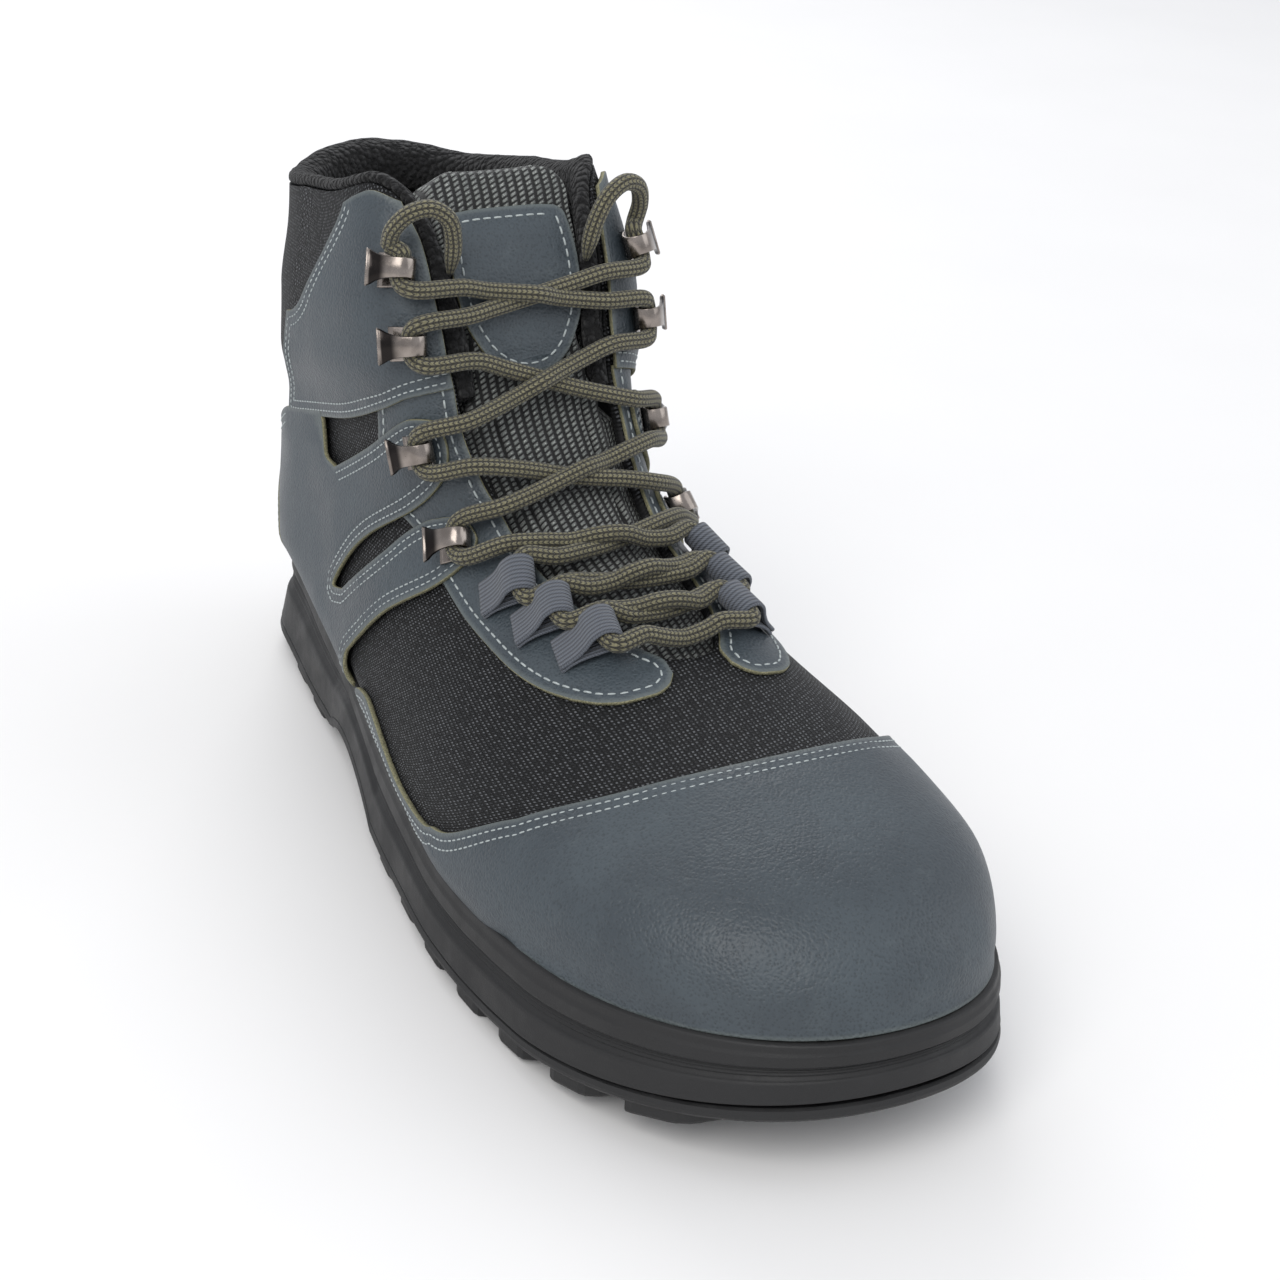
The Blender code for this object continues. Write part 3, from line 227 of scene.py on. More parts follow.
floor_finish = Finish("pale_floor", roughness=0.55)
floor_finish.colour(floor_finish.noise(9.0).blend(srgb(236, 235, 234), srgb(240, 239, 238)))
half_floor = FLOOR_SIZE / 2
floor_corners = [(x * half_floor, y * half_floor, 0) for x, y in ((-1, -1), (1, -1), (1, 1), (-1, 1))]
floor_mesh = bpy.data.meshes.new("floor")
floor_mesh.from_pydata(floor_corners, [], [(0, 1, 2, 3)])
floor = bpy.data.objects.new("floor", floor_mesh)
bpy.context.scene.collection.objects.link(floor)
floor_mesh.materials.append(floor_finish.material)

# Upper: the wall that everything else is sewn to, black ballistic mesh with a coated back and a dark
# textile lining. Its form is the last: a fan of sections from the toe to the collar, each given as a
# front point, a rear point, two half widths and a roundness. A place on it is a row and degrees, from
# 0 at the heel or underside to 180 at the front, negative on the outer side.

LAST_LENGTH = 0.293
BALL_WIDTH = 0.106
ANKLE_WIDTH = 0.079
TOE_HEIGHT = 0.058
INSTEP_HEIGHT = 0.0985
FRONT_HEIGHT = 0.161
BACK_HEIGHT = 0.146
HEEL_SEAT = 0.042
HEEL_STACK = 0.034
WAIST_STACK = 0.0305
BALL_STACK = 0.025
TOE_STACK = 0.0335
LAST_TUCK = 0.004
WALL = 0.0022

# Front point as a share of the length and a level on the ladder of heights, rear point as a share of
# the length, outer and inner half widths as shares of the ball width, height of the widest place,
# roundness low and high, and lean to the big toe.
FOOT_ROWS = [
    (1.000, 0.000, 0.751, 0.470, 0.430, 0.06, 3.0, 2.25, 0.065),
    (0.992, 0.390, 0.748, 0.472, 0.434, 0.10, 3.0, 2.25, 0.067),
    (0.966, 0.755, 0.741, 0.476, 0.440, 0.18, 3.2, 2.30, 0.070),
    (0.915, 1.000, 0.730, 0.486, 0.450, 0.27, 3.6, 2.35, 0.073),
    (0.833, 1.110, 0.703, 0.508, 0.468, 0.28, 4.0, 2.25, 0.075),
    (0.751, 1.220, 0.642, 0.518, 0.476, 0.27, 4.0, 2.15, 0.074),
    (0.669, 1.350, 0.539, 0.495, 0.445, 0.26, 3.8, 2.10, 0.069),
    (0.594, 1.510, 0.396, 0.440, 0.390, 0.24, 3.4, 2.15, 0.060),
    (0.529, 1.680, 0.239, 0.388, 0.356, 0.26, 2.8, 2.45, 0.036),
    (0.489, 1.860, 0.096, 0.356, 0.347, 0.30, 2.3, 2.90, 0.022),
    (0.475, 1.950, 0.017, 0.346, 0.340, 0.34, 2.15, 3.30, 0.014),
]

# The same for the shaft, with the rear point's share of the rise to the collar after its place
SHAFT_ROWS = [
    (0.461, 2.030, 0.002, 0.070, 0.446, 0.442, 0.36, 2.2, 3.70, 0.006),
    (0.440, 2.150, -0.003, 0.250, 0.436, 0.434, 0.40, 2.1, 4.20, -0.002),
    (0.426, 2.270, 0.007, 0.410, 0.448, 0.444, 0.42, 2.1, 4.30, -0.006),
    (0.412, 2.400, 0.020, 0.562, 0.488, 0.486, 0.43, 2.1, 4.20, -0.008),
    (0.398, 2.570, 0.027, 0.714, 0.486, 0.486, 0.44, 2.1, 4.40, -0.010),
    (0.377, 2.760, 0.024, 0.866, 0.450, 0.452, 0.46, 2.1, 5.00, -0.010),
    (0.337, 3.000, 0.015, 1.000, 0.414, 0.418, 0.48, 2.2, 5.50, -0.008),
]
THROAT_EDGE = [(6.00, 0.00), (6.06, 0.12), (6.35, 0.23), (7.00, 0.35), (8.00, 0.45), (10.0, 0.54),
               (12.0, 0.61), (14.0, 0.56), (15.5, 0.61), (16.4, 0.69), (16.85, 0.80)]
COLLAR_EDGE = [(17.00, 126.0), (16.92, 110.0), (16.70, 84.0), (16.62, 52.0), (16.84, 22.0), (16.96, 0.0)]


def smooth_curve(knots, values, at):
    """Cubic through the knots that never overshoots them, and runs straight on past the last."""
    knots, values, at = (np.asarray(v, float) for v in (knots, values, at))
    step = np.diff(knots)
    slope = np.diff(values) / step
    tangent = np.zeros_like(values)
    left, right = slope[:-1], slope[1:]
    weight_left, weight_right = 2 * step[1:] + step[:-1], step[1:] + 2 * step[:-1]
    with np.errstate(divide="ignore", invalid="ignore"):
        mean = (weight_left + weight_right) / (weight_left / left + weight_right / right)
    tangent[1:-1] = np.where(left * right > 0, mean, 0.0)
    tangent[0], tangent[-1] = slope[0], slope[-1]
    i = np.clip(np.searchsorted(knots, at, side="right") - 1, 0, len(step) - 1)
    s = np.clip((at - knots[i]) / step[i], 0.0, 1.0)
    inside = (values[i] * (1 + 2 * s) * (1 - s) ** 2 + tangent[i] * step[i] * s * (1 - s) ** 2
              + values[i + 1] * s * s * (3 - 2 * s) + tangent[i + 1] * step[i] * s * s * (s - 1))
    return inside + np.where(at > knots[-1], (at - knots[-1]) * tangent[-1], 0.0)


def feather_height(along):
    """Height of the edge where upper and sole meet."""
    places = np.array([0.0, 0.20, 0.42, 0.68, 0.80, 1.0]) * LAST_LENGTH
    heights = [HEEL_STACK, HEEL_STACK - 0.0005, WAIST_STACK, BALL_STACK,
               BALL_STACK + 0.25 * (TOE_STACK - BALL_STACK), TOE_STACK]
    return smooth_curve(places, heights, along)


def section_table():
    """The table's sections in metres, one row each."""
    rungs = [TOE_STACK, TOE_HEIGHT, INSTEP_HEIGHT, FRONT_HEIGHT]
    rows = []
    for front, level, rear, outer, inner, *shape, lean in FOOT_ROWS:
        rows.append((front * LAST_LENGTH, np.interp(level, [0, 1, 2, 3], rungs), rear * LAST_LENGTH,
                     float(feather_height(rear * LAST_LENGTH)) - LAST_TUCK, outer * BALL_WIDTH,
                     inner * BALL_WIDTH, *shape, lean * BALL_WIDTH))
    for front, level, rear, rise, outer, inner, *shape, lean in SHAFT_ROWS:
        rows.append((front * LAST_LENGTH, np.interp(level, [0, 1, 2, 3], rungs), rear * LAST_LENGTH,
                     HEEL_STACK + rise * (BACK_HEIGHT - HEEL_STACK), outer * ANKLE_WIDTH,
                     inner * ANKLE_WIDTH, *shape, lean * BALL_WIDTH))
    return np.array(rows)


SECTIONS = section_table()


def section_values(row):
    """The ten columns of the table at any row."""
    return [smooth_curve(np.arange(len(SECTIONS)), SECTIONS[:, i], row) for i in range(10)]


def surface(row, degrees):
    """World places on the outside of the last: two quarter superellipses between rear and front."""
    row, degrees = np.broadcast_arrays(np.asarray(row, float), np.asarray(degrees, float))
    front_a, front_u, rear_a, rear_u, outer, inner, widest, low, high, lean = section_values(row)
    angle = np.radians(np.clip(np.abs(degrees), 0.0, 180.0))
    sine, cosine = np.clip(np.sin(angle), 0, 1), np.clip(np.abs(np.cos(angle)), 0, 1)
    is_low = angle < math.pi / 2
    share = np.where(is_low, sine ** (2 / low), sine ** (2 / high))
    reach = np.where(is_low, widest * (1 - cosine ** (2 / low)),
                     widest + (1 - widest) * cosine ** (2 / high))
    across = lean * reach + np.where(degrees < 0, -outer, inner) * share
    return np.stack([across, HEEL_SEAT - rear_a - reach * (front_a - rear_a),
                     rear_u + reach * (front_u - rear_u)], axis=-1)


def wrap(degrees):
    """Degrees brought into the half-open turn from -180 to 180."""
    return (np.asarray(degrees, float) + 180.0) % 360.0 - 180.0


def unit(vectors):
    """Vectors divided by their lengths."""
    return vectors / np.maximum(np.linalg.norm(vectors, axis=-1, keepdims=True), 1e-12)


def outward(row, degrees):
    """Unit normals of the last, from small steps along a section and across sections."""
    row, degrees = np.broadcast_arrays(np.asarray(row, float), np.asarray(degrees, float))
    section = surface(row, wrap(degrees + 0.6)) - surface(row, wrap(degrees - 0.6))
    climb = surface(row + 0.02, degrees) - surface(np.maximum(row - 0.02, 0.0), degrees)
    normal = unit(np.cross(climb, section))
    core = surface(row, np.where(degrees < 0, -90.0, 90.0))
    core[..., 0] = 0.0
    sign = np.sign(np.sum((surface(row, degrees) - core) * normal, axis=-1, keepdims=True))
    return normal * np.where(sign == 0, 1.0, sign)


def lifted(row, degrees, lift):
    """World places a lift in metres off the last, along its normals."""
    return surface(row, degrees) + outward(row, degrees) * np.asarray(lift, float)[..., None]


def even_shares(points, count):
    """Where to cut a dense line into even steps, as places on its own index."""
    length = np.concatenate([[0], np.cumsum(np.linalg.norm(np.diff(points, axis=0), axis=1))])
    return np.interp(np.linspace(0, length[-1], count), length, np.arange(len(points)))


def feather_line(side, rise=0.0):
    """Row and degrees of the edge on the sole, or a line above it, from toe to heel on one side."""
    heel_rows = np.linspace(8.0, 11.9, 400)
    values = section_values(heel_rows)
    heel_row = float(np.interp(0.0, values[3] - feather_height(values[2]) - rise, heel_rows))
    rows = heel_row * (1 - np.cos(np.linspace(0, math.pi, 400))) / 2
    low, high = np.zeros_like(rows), np.full_like(rows, 180.0)
    for _ in range(40):
        middle = (low + high) / 2
        place = surface(rows, side * np.maximum(middle, 1e-6))
        above = place[:, 2] > feather_height(HEEL_SEAT - place[:, 1]) + rise
        high, low = np.where(above, middle, high), np.where(above, low, middle)
    degrees = (low + high) / 2
    degrees[0], degrees[-1] = 180.0, 0.0
    return rows, degrees


def front_degrees(row, share):
    """Degrees of a place on the front face, a share of the half width from the middle."""
    sine = np.clip(np.abs(share), 0.0, 1.0) ** (section_values(row)[8] / 2)
    return 180.0 - np.degrees(np.arcsin(sine))


def top_line():
    """Row and degrees of throat and collar, from the middle of the throat's base to the heel seam."""
    edge = [(row, float(front_degrees(row, share))) for row, share in THROAT_EDGE] + COLLAR_EDGE
    at = np.linspace(0, len(edge) - 1, 400)
    return [smooth_curve(np.arange(len(edge)), [p[i] for p in edge], at) for i in (0, 1)]


FAN = [(0.0, 0.0), (0.16, 0.035), (0.34, 0.10), (0.50, 0.27), (0.62, 0.42), (0.76, 0.58), (1.0, 1.0)]


def side_grid(side, around, levels):
    """Row and degrees over one side, level by level up from the sole's edge to the top line."""
    edge, top = feather_line(side), top_line()
    shares = np.linspace(0, 1, 1001)
    low_at = np.interp(around, shares, even_shares(surface(edge[0], side * edge[1]), 1001))
    high_at = np.interp(smooth_curve(*zip(*FAN), around), shares,
                        even_shares(surface(top[0], side * np.asarray(top[1])), 1001))
    base, v = np.arange(400), np.asarray(levels)[:, None]
    row_degrees = [np.interp(low_at, base, edge[i]) * (1 - v) + np.interp(high_at, base, top[i]) * v
                   for i in (0, 1)]
    return row_degrees[0], side * row_degrees[1]


def whole_grid(count, levels, crowding=0.3):
    """Row and degrees all round, from the toe by the outer side and back by the inner side."""
    even = np.linspace(0, 1, count + 1)
    around = even - crowding * np.sin(2 * math.pi * even) / (2 * math.pi)
    outer, inner = side_grid(-1, around, levels), side_grid(1, around[::-1], levels)
    return [np.concatenate([outer[i][:, :-1], inner[i][:, :-1]], axis=1) for i in (0, 1)]


def cloth_lengths():
    """Distances over the last in metres, up the rows and round each section, on a coarse grid."""
    rows, degrees = np.linspace(0, 17.4, 175), np.linspace(-180, 180, 361)
    places = surface(rows[:, None], degrees[None, :])
    up = np.linalg.norm(np.diff(places, axis=0), axis=-1)
    up = np.concatenate([np.zeros((1, 361)), np.cumsum(up, axis=0)])
    round_ = np.linalg.norm(np.diff(places, axis=1), axis=-1)
    round_ = np.concatenate([np.zeros((175, 1)), np.cumsum(round_, axis=1)], axis=1)
    halves = np.where(degrees[None, :] < 0, round_[:, :1], round_[:, -1:])
    return up - up[80], round_ - halves


CLOTH_UP, CLOTH_ROUND = cloth_lengths()


def cloth_place(row, degrees):
    """UV of a place: metres round and metres up, so that a weave follows the last."""
    row, degrees = np.broadcast_arrays(np.asarray(row, float), wrap(degrees))
    i, j = np.clip(row * 10, 0, 173.999), np.clip(degrees + 180, 0, 359.999)
    i0, j0 = i.astype(int), j.astype(int)
    fi, fj = i - i0, j - j0

    def read(table):
        return ((table[i0, j0] * (1 - fj) + table[i0, j0 + 1] * fj) * (1 - fi)
                + (table[i0 + 1, j0] * (1 - fj) + table[i0 + 1, j0 + 1] * fj) * fi)

    return np.stack([read(CLOTH_ROUND), read(CLOTH_UP)], axis=-1)


def grid_faces(levels, places, closed=False):
    """Quads over a grid of points as an array of four indices each."""
    last = places if closed else places - 1
    i, j = np.meshgrid(np.arange(levels - 1), np.arange(last), indexing="ij")
    k = (j + 1) % places
    return np.stack([i * places + j, (i + 1) * places + j, (i + 1) * places + k, i * places + k],
                    axis=-1).reshape(-1, 4)


def add_piece(name, points, faces, finish, replaced=(), cloth=None, values=None, smooth=True):
    """A mesh object that rides on the part, with its UV map, its named point values and its finish."""
    mesh = bpy.data.meshes.new(name)
    points = np.asarray(points, float).reshape(-1, 3)
    mesh.from_pydata(points, [], faces.tolist() if isinstance(faces, np.ndarray) else faces)
    work = bmesh.new()
    work.from_mesh(mesh)
    bmesh.ops.recalc_face_normals(work, faces=work.faces)
    work.to_mesh(mesh)
    work.free()
    if cloth is not None:
        layer = mesh.uv_layers.new(name="cloth")
        index = np.zeros(len(mesh.loops), int)
        mesh.loops.foreach_get("vertex_index", index)
        layer.data.foreach_set("uv", np.asarray(cloth, float).reshape(-1, 2)[index].ravel())
    for key, numbers in (values or {}).items():
        layer = mesh.attributes.new(key, "FLOAT", "POINT")
        layer.data.foreach_set("value", np.asarray(numbers, float).ravel())
    if smooth:
        mesh.polygons.foreach_set("use_smooth", np.ones(len(mesh.polygons), bool))
    mesh.materials.append(finish.material)
    piece = bpy.data.objects.new(name, mesh)
    bpy.context.scene.collection.objects.link(piece)
    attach(piece, "root")
    if replaced:
        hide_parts(*replaced)
    return piece


def walled(outer, inner, levels, places, closed=True):
    """Points and faces of a wall between two grids, closed along its rims."""
    count = levels * places
    faces = [grid_faces(levels, places, closed), grid_faces(levels, places, closed)[:, ::-1] + count]
    last = places if closed else places - 1
    j = np.arange(last)
    for level in (0, levels - 1):
        a, b = level * places + j, level * places + (j + 1) % places
        faces.append(np.stack([a, b, b + count, a + count], axis=1))
    if not closed:
        i = np.arange(levels - 1)
        for place in (0, places - 1):
            a, b = i * places + place, (i + 1) * places + place
            faces.append(np.stack([a, b, b + count, a + count], axis=1))
    return np.concatenate([outer.reshape(-1, 3), inner.reshape(-1, 3)]), np.concatenate(faces)


MESH_CELL = 0.0011
LINING_CELL = 0.0011
UPPER_LEVELS = 90
UPPER_SIDE = 190

mesh_finish = Finish("ballistic_mesh", roughness=0.72, Specular_IOR_Level=0.3)
u, v = mesh_finish.across()
inside = mesh_finish.value("inside")
warp_at = u * (1 / MESH_CELL)
weft_at = v * (1 / MESH_CELL) + warp_at.maths("FLOOR") * 0.25
warp = (warp_at.fraction() - 0.5).size()
weft = (weft_at.fraction() - 0.5).size()
strand_relief = warp.ramp(0.5, 0.2) * weft.ramp(0.5, 0.2)
fleck = warp.ramp(0.30, 0.16) * weft.ramp(0.34, 0.16) * mesh_finish.noise(900.0, 1.0).ramp(0.38, 0.6)
lining_turns = 2 * math.pi / LINING_CELL
lining_weave = ((u * lining_turns).sine() * (v * lining_turns).sine()).ramp(-0.6, 0.6)
woven = strand_relief.blend(srgb(5, 5, 6), srgb(24, 25, 27))
woven = fleck.blend(woven, srgb(96, 98, 101))
mesh_finish.colour(inside.blend(woven, lining_weave.blend(srgb(20, 20, 21), srgb(34, 34, 35))))
mesh_finish.link(inside.ramp(0.0, 1.0, 0.62, 0.9), "Roughness")
mesh_finish.bump(inside.ramp(0.4, 0.6, 1.0, 0.0) * (strand_relief + 0.5 * fleck)
                 + inside.ramp(0.4, 0.6) * lining_weave * 0.5, 0.00028)

shell_rows, shell_degrees = whole_grid(UPPER_SIDE, np.linspace(0, 1, UPPER_LEVELS))
shell_outer = surface(shell_rows, shell_degrees)
shell_inner = lifted(shell_rows, shell_degrees, np.full(shell_rows.shape, -WALL))
shell_points, shell_faces = walled(shell_outer, shell_inner, UPPER_LEVELS, 2 * UPPER_SIDE)
shell_cloth = cloth_place(shell_rows, shell_degrees)
add_piece("upper_shell", shell_points, shell_faces, mesh_finish, ["upper"],
          cloth=np.concatenate([shell_cloth.reshape(-1, 2)] * 2),
          values={"inside": np.repeat([0.0, 1.0], shell_rows.size)})

# Panels: smooth coated leather cut to shape, its raw olive edges left open, laid over the mesh in
# layers and sewn down with light thread, mostly in double rows.

PANEL = 0.0012
RAW_EDGE = 0.00035
FLAT = np.array([9.0, 0.62])

leather_finish = Finish("coated_leather", roughness=0.5, Coat_Roughness=0.45)
inset = leather_finish.value("inset")
raw = leather_finish.value("raw")
seam = leather_finish.value("seam")
grain = leather_finish.cells(1500.0, "SMOOTH_F1")
pores = leather_finish.noise(2600.0, 2.0)
cloud = leather_finish.noise(45.0, 3.0)
dust = leather_finish.noise(160.0, 4.0, 0.65)
face = cloud.ramp(0.3, 0.7).blend(srgb(55, 63, 69), srgb(65, 74, 80))
face = (dust.ramp(0.52, 0.8) * 0.25).blend(face, srgb(92, 101, 104))
face = (grain.ramp(0.45, 0.1) * 0.5).blend(face, srgb(36, 43, 48))
face = ((inset * 1000.0).ramp(1.4, 0.0) * 0.4).blend(face, srgb(112, 119, 116))
cut = pores.ramp(0.35, 0.65).blend(srgb(112, 110, 84), srgb(150, 146, 116))
leather_finish.colour(raw.ramp(0.35, 0.75).blend(face, cut))
leather_finish.link(raw.ramp(0.3, 0.8, 0.0, 0.35) + cloud.ramp(0.3, 0.7, 0.40, 0.54), "Roughness")
leather_finish.bump(grain * 0.8 + pores * 0.35 - seam * 1.6, 0.00026)

thread_finish = Finish("light_thread", roughness=0.6)
thread_finish.colour(thread_finish.noise(700.0).blend(srgb(142, 150, 151), srgb(192, 199, 198)))


def on_last(line):
    """World places of a line over the last, from its rows and degrees."""
    return surface(line[..., 0], wrap(line[..., 1]))


def smooth_edge(points, spacing):
    """An edge's (row, degrees) points as a smooth line with points about a spacing apart in metres."""
    points = np.asarray(points, float)
    at = np.linspace(0, len(points) - 1, 40 * (len(points) - 1) + 1)
    line = np.stack([smooth_curve(np.arange(len(points)), points[:, i], at) for i in (0, 1)], axis=1)
    places = on_last(line)
    length = np.linalg.norm(np.diff(places, axis=0), axis=1).sum()
    cut = even_shares(places, max(2, int(round(length / spacing)) + 1))
    return np.stack([np.interp(cut, np.arange(len(line)), line[:, i]) for i in (0, 1)], axis=1)


# Shares of a Newton step that are tried, of which each point takes the one that lands nearest
STEP_SHARES = np.array([1.0, 0.6, 0.35, 0.2, 0.1, 0.05, 0.02, 0.0])
NEWTON_STEPS = 12


def shifted(line, inward, distance):
    """A line moved over the last by a distance along given directions, by Newton's method."""
    goal = on_last(line) + inward * distance
    for _ in range(NEWTON_STEPS):
        rows, degrees = line[:, 0], line[:, 1]
        step = goal - surface(rows, wrap(degrees))
        by_row = (surface(rows + 0.02, wrap(degrees)) - surface(rows - 0.02, wrap(degrees))) / 0.04
        by_degree = (surface(rows, wrap(degrees + 0.1)) - surface(rows, wrap(degrees - 0.1))) / 0.2
        rr, rd, dd = (by_row ** 2).sum(1), (by_row * by_degree).sum(1), (by_degree ** 2).sum(1)
        sr, sd = (step * by_row).sum(1), (step * by_degree).sum(1)
        whole = np.maximum(rr * dd - rd * rd, 1e-18)
        move = np.stack([(sr * dd - sd * rd) / whole, (sd * rr - sr * rd) / whole], axis=1)
        trials = line + STEP_SHARES[:, None, None] * np.clip(move, (-0.3, -4.0), (0.3, 4.0))
        miss = np.linalg.norm(on_last(trials) - goal, axis=-1)
        line = np.take_along_axis(trials, miss.argmin(axis=0)[None, :, None], axis=0)[0]
    return line


def inward_of(line, closed=True, side=1.0):
    """Directions in space from a line over the last towards its left, as the last is seen outside."""
    rows, degrees = line[:, 0], wrap(line[:, 1])
    places = surface(rows, degrees)
    ahead = np.roll(places, -1, axis=0) - np.roll(places, 1, axis=0)
    if not closed:
        ahead = np.gradient(places, axis=0)
    true_up = np.cross(surface(rows + 0.02, degrees) - surface(rows - 0.02, degrees),
                       surface(rows, wrap(degrees + 0.5)) - surface(rows, wrap(degrees - 0.5)))
    return unit(np.cross(unit(true_up), unit(ahead))) * side


def ring_area(line):
    """Signed area of a closed line of rows and degrees."""
    x, y = line[:, 0], line[:, 1]
    return 0.5 * np.sum(x * np.roll(y, -1) - y * np.roll(x, -1))


def fill(outline, cell):
    """Points and triangles inside an outline, from a grid of points a cell apart."""
    flat = outline * FLAT
    low, high = flat.min(axis=0), flat.max(axis=0)
    axes = [np.arange(low[i] + cell / 2, high[i], cell) for i in (0, 1)]
    inner = np.stack(np.meshgrid(*axes, indexing="ij"), axis=-1).reshape(-1, 2)
    start, end = flat, np.roll(flat, -1, axis=0)
    run = end - start
    crossings = np.zeros(len(inner), int)
    reach = np.full(len(inner), 1e9)
    for a, b, r in zip(start, end, run):
        offset = inner - a
        share = np.clip(offset @ r / max(r @ r, 1e-12), 0, 1)
        reach = np.minimum(reach, np.linalg.norm(offset - share[:, None] * r, axis=1))
        spans = (a[1] > inner[:, 1]) != (b[1] > inner[:, 1])
        if abs(r[1]) > 1e-12:
            crossings += spans & (inner[:, 0] < a[0] + (inner[:, 1] - a[1]) * r[0] / r[1])
    inner = inner[(crossings % 2 == 1) & (reach > 0.5 * cell)]
    made = delaunay_2d_cdt([tuple(p) for p in np.concatenate([flat, inner])], [],
                           [list(range(len(flat)))], 1, 1e-6)
    return np.array([tuple(p) for p in made[0]]) / FLAT, np.array(made[2])


# How many places are compared at a time, which keeps the arrays small
NEAREST_BLOCK = 800


def nearest(places, others):
    """Distance from each place to the nearest of some others, one block of places after another."""
    found = np.zeros(len(places))
    for start in range(0, len(places), NEAREST_BLOCK):
        gap = places[start:start + NEAREST_BLOCK, None] - others[None]
        found[start:start + NEAREST_BLOCK] = np.linalg.norm(gap, axis=-1).min(axis=1)
    return found


RIM_SPACING = 0.0012
SEAM_INSETS = (0.0018, 0.0039)
SEAM_GROOVE = 0.00072

# A seam stops where it comes nearer to a sewn edge than this share of its inset, and its thread lies at
# this share of the leather's thickness
SEAM_CLEAR = 0.92
SEAM_HEIGHT = 0.86

# The leather is drawn down between its two rows: by a share of its thickness, most at the middle
SEWN_DIP = 0.16
SEWN_MIDDLE = 0.0029
SEWN_REACH = 0.0016


def leather_panel(name, edges, replaced, base=0.0003, thickness=PANEL, cell=1.7, mirror=1,
                  seams=SEAM_INSETS, seam_edges=None):
    """A closed leather piece: two sheets a thickness apart, with a rounded top edge and a raw side.

    What comes back is its seams, each a line over the last and a height.
    """
    lines = [smooth_edge([(r, mirror * d) for r, d in edge], RIM_SPACING) for edge in edges]
    outline = np.concatenate([line[:-1] for line in lines])
    flat, faces = fill(outline, cell)
    count = len(outline)
    side = 1.0 if ring_area(outline) > 0 else -1.0
    inward = inward_of(flat[:count], side=side)
    rows, degrees = flat[:, 0], wrap(flat[:, 1])
    places = surface(rows, degrees)
    depth = np.zeros(len(flat))
    depth[count:] = nearest(places[count:], places[:count])
    low = np.full(len(flat), base)
    dip = SEWN_DIP * np.exp(-((depth - SEWN_MIDDLE) / SEWN_REACH) ** 2) * (depth > 0)
    top = low + thickness * (1.0 - dip)

    def ring(distance, height):
        moved = shifted(flat[:count], inward, distance)
        return lifted(moved[:, 0], wrap(moved[:, 1]), height)

    upper_sheet = lifted(rows, degrees, top)
    upper_sheet[:count] = ring(RAW_EDGE, top[:count])
    lower_sheet = lifted(rows, degrees, low)
    bands = [upper_sheet[:count], ring(0.3 * RAW_EDGE, top[:count] - 0.3 * RAW_EDGE),
             ring(0.0, top[:count] - RAW_EDGE), lower_sheet[:count]]
    points = np.concatenate([upper_sheet, bands[1], bands[2], lower_sheet])
    total = len(flat)
    starts = [0, total, total + count, total + 2 * count]
    faces_all = faces.tolist() + (faces[:, ::-1] + starts[3]).tolist()
    index = np.arange(count)
    after = (index + 1) % count
    for a, b in zip(starts[:-1], starts[1:]):
        faces_all += np.stack([a + index, a + after, b + after, b + index], axis=1).tolist()
    grow = np.concatenate([depth, np.zeros(2 * count), depth])
    raw_value = np.concatenate([np.zeros(total), np.full(count, 0.5), np.ones(count), np.ones(total)])
    on_seam = np.zeros(len(flat))
    sewn = [i for i in range(len(edges)) if seam_edges is None or i in seam_edges]
    seam_lines, sewn_edges = [], []
    for i in sewn:
        if i - 1 in sewn:
            sewn_edges[-1] = np.concatenate([sewn_edges[-1], lines[i][1:]])
        else:
            sewn_edges.append(lines[i])
    if len(sewn_edges) > 1 and sewn[0] == 0 and sewn[-1] == len(edges) - 1:
        sewn_edges[0] = np.concatenate([sewn_edges.pop(), sewn_edges[0][1:]])
    sewn_rim = np.concatenate([on_last(line) for line in sewn_edges])
    for line in sewn_edges:
        line_inward = inward_of(line, closed=False, side=side)
        for distance in seams:
            moved = shifted(line, line_inward, distance)
            seam_lines.append(moved[nearest(on_last(moved), sewn_rim) > SEAM_CLEAR * distance])
    for moved in seam_lines:
        gap = nearest(places, on_last(moved))
        on_seam = np.maximum(on_seam, np.exp(-(gap / SEAM_GROOVE) ** 2))
    on_seam[:count] = 0.0
    cloth = cloth_place(rows, degrees)
    add_piece(name, points, faces_all, leather_finish, replaced,
              cloth=np.concatenate([cloth, cloth[:count], cloth[:count], cloth]),
              values={"inset": grow, "raw": raw_value,
                      "seam": np.concatenate([on_seam, np.zeros(2 * count), np.zeros(len(flat))])})
    return [(moved, base + SEAM_HEIGHT * thickness) for moved in seam_lines]


# Shape of one stitch: place along it, height of its middle, and girth, both as shares of the thread
STITCH_SHAPE = [(-1.0, -0.9, 0.5), (-0.72, 0.05, 0.9), (0.0, 0.35, 1.0), (0.72, 0.05, 0.9), (1.0, -0.9, 0.5)]
STITCH_SIDES = 6


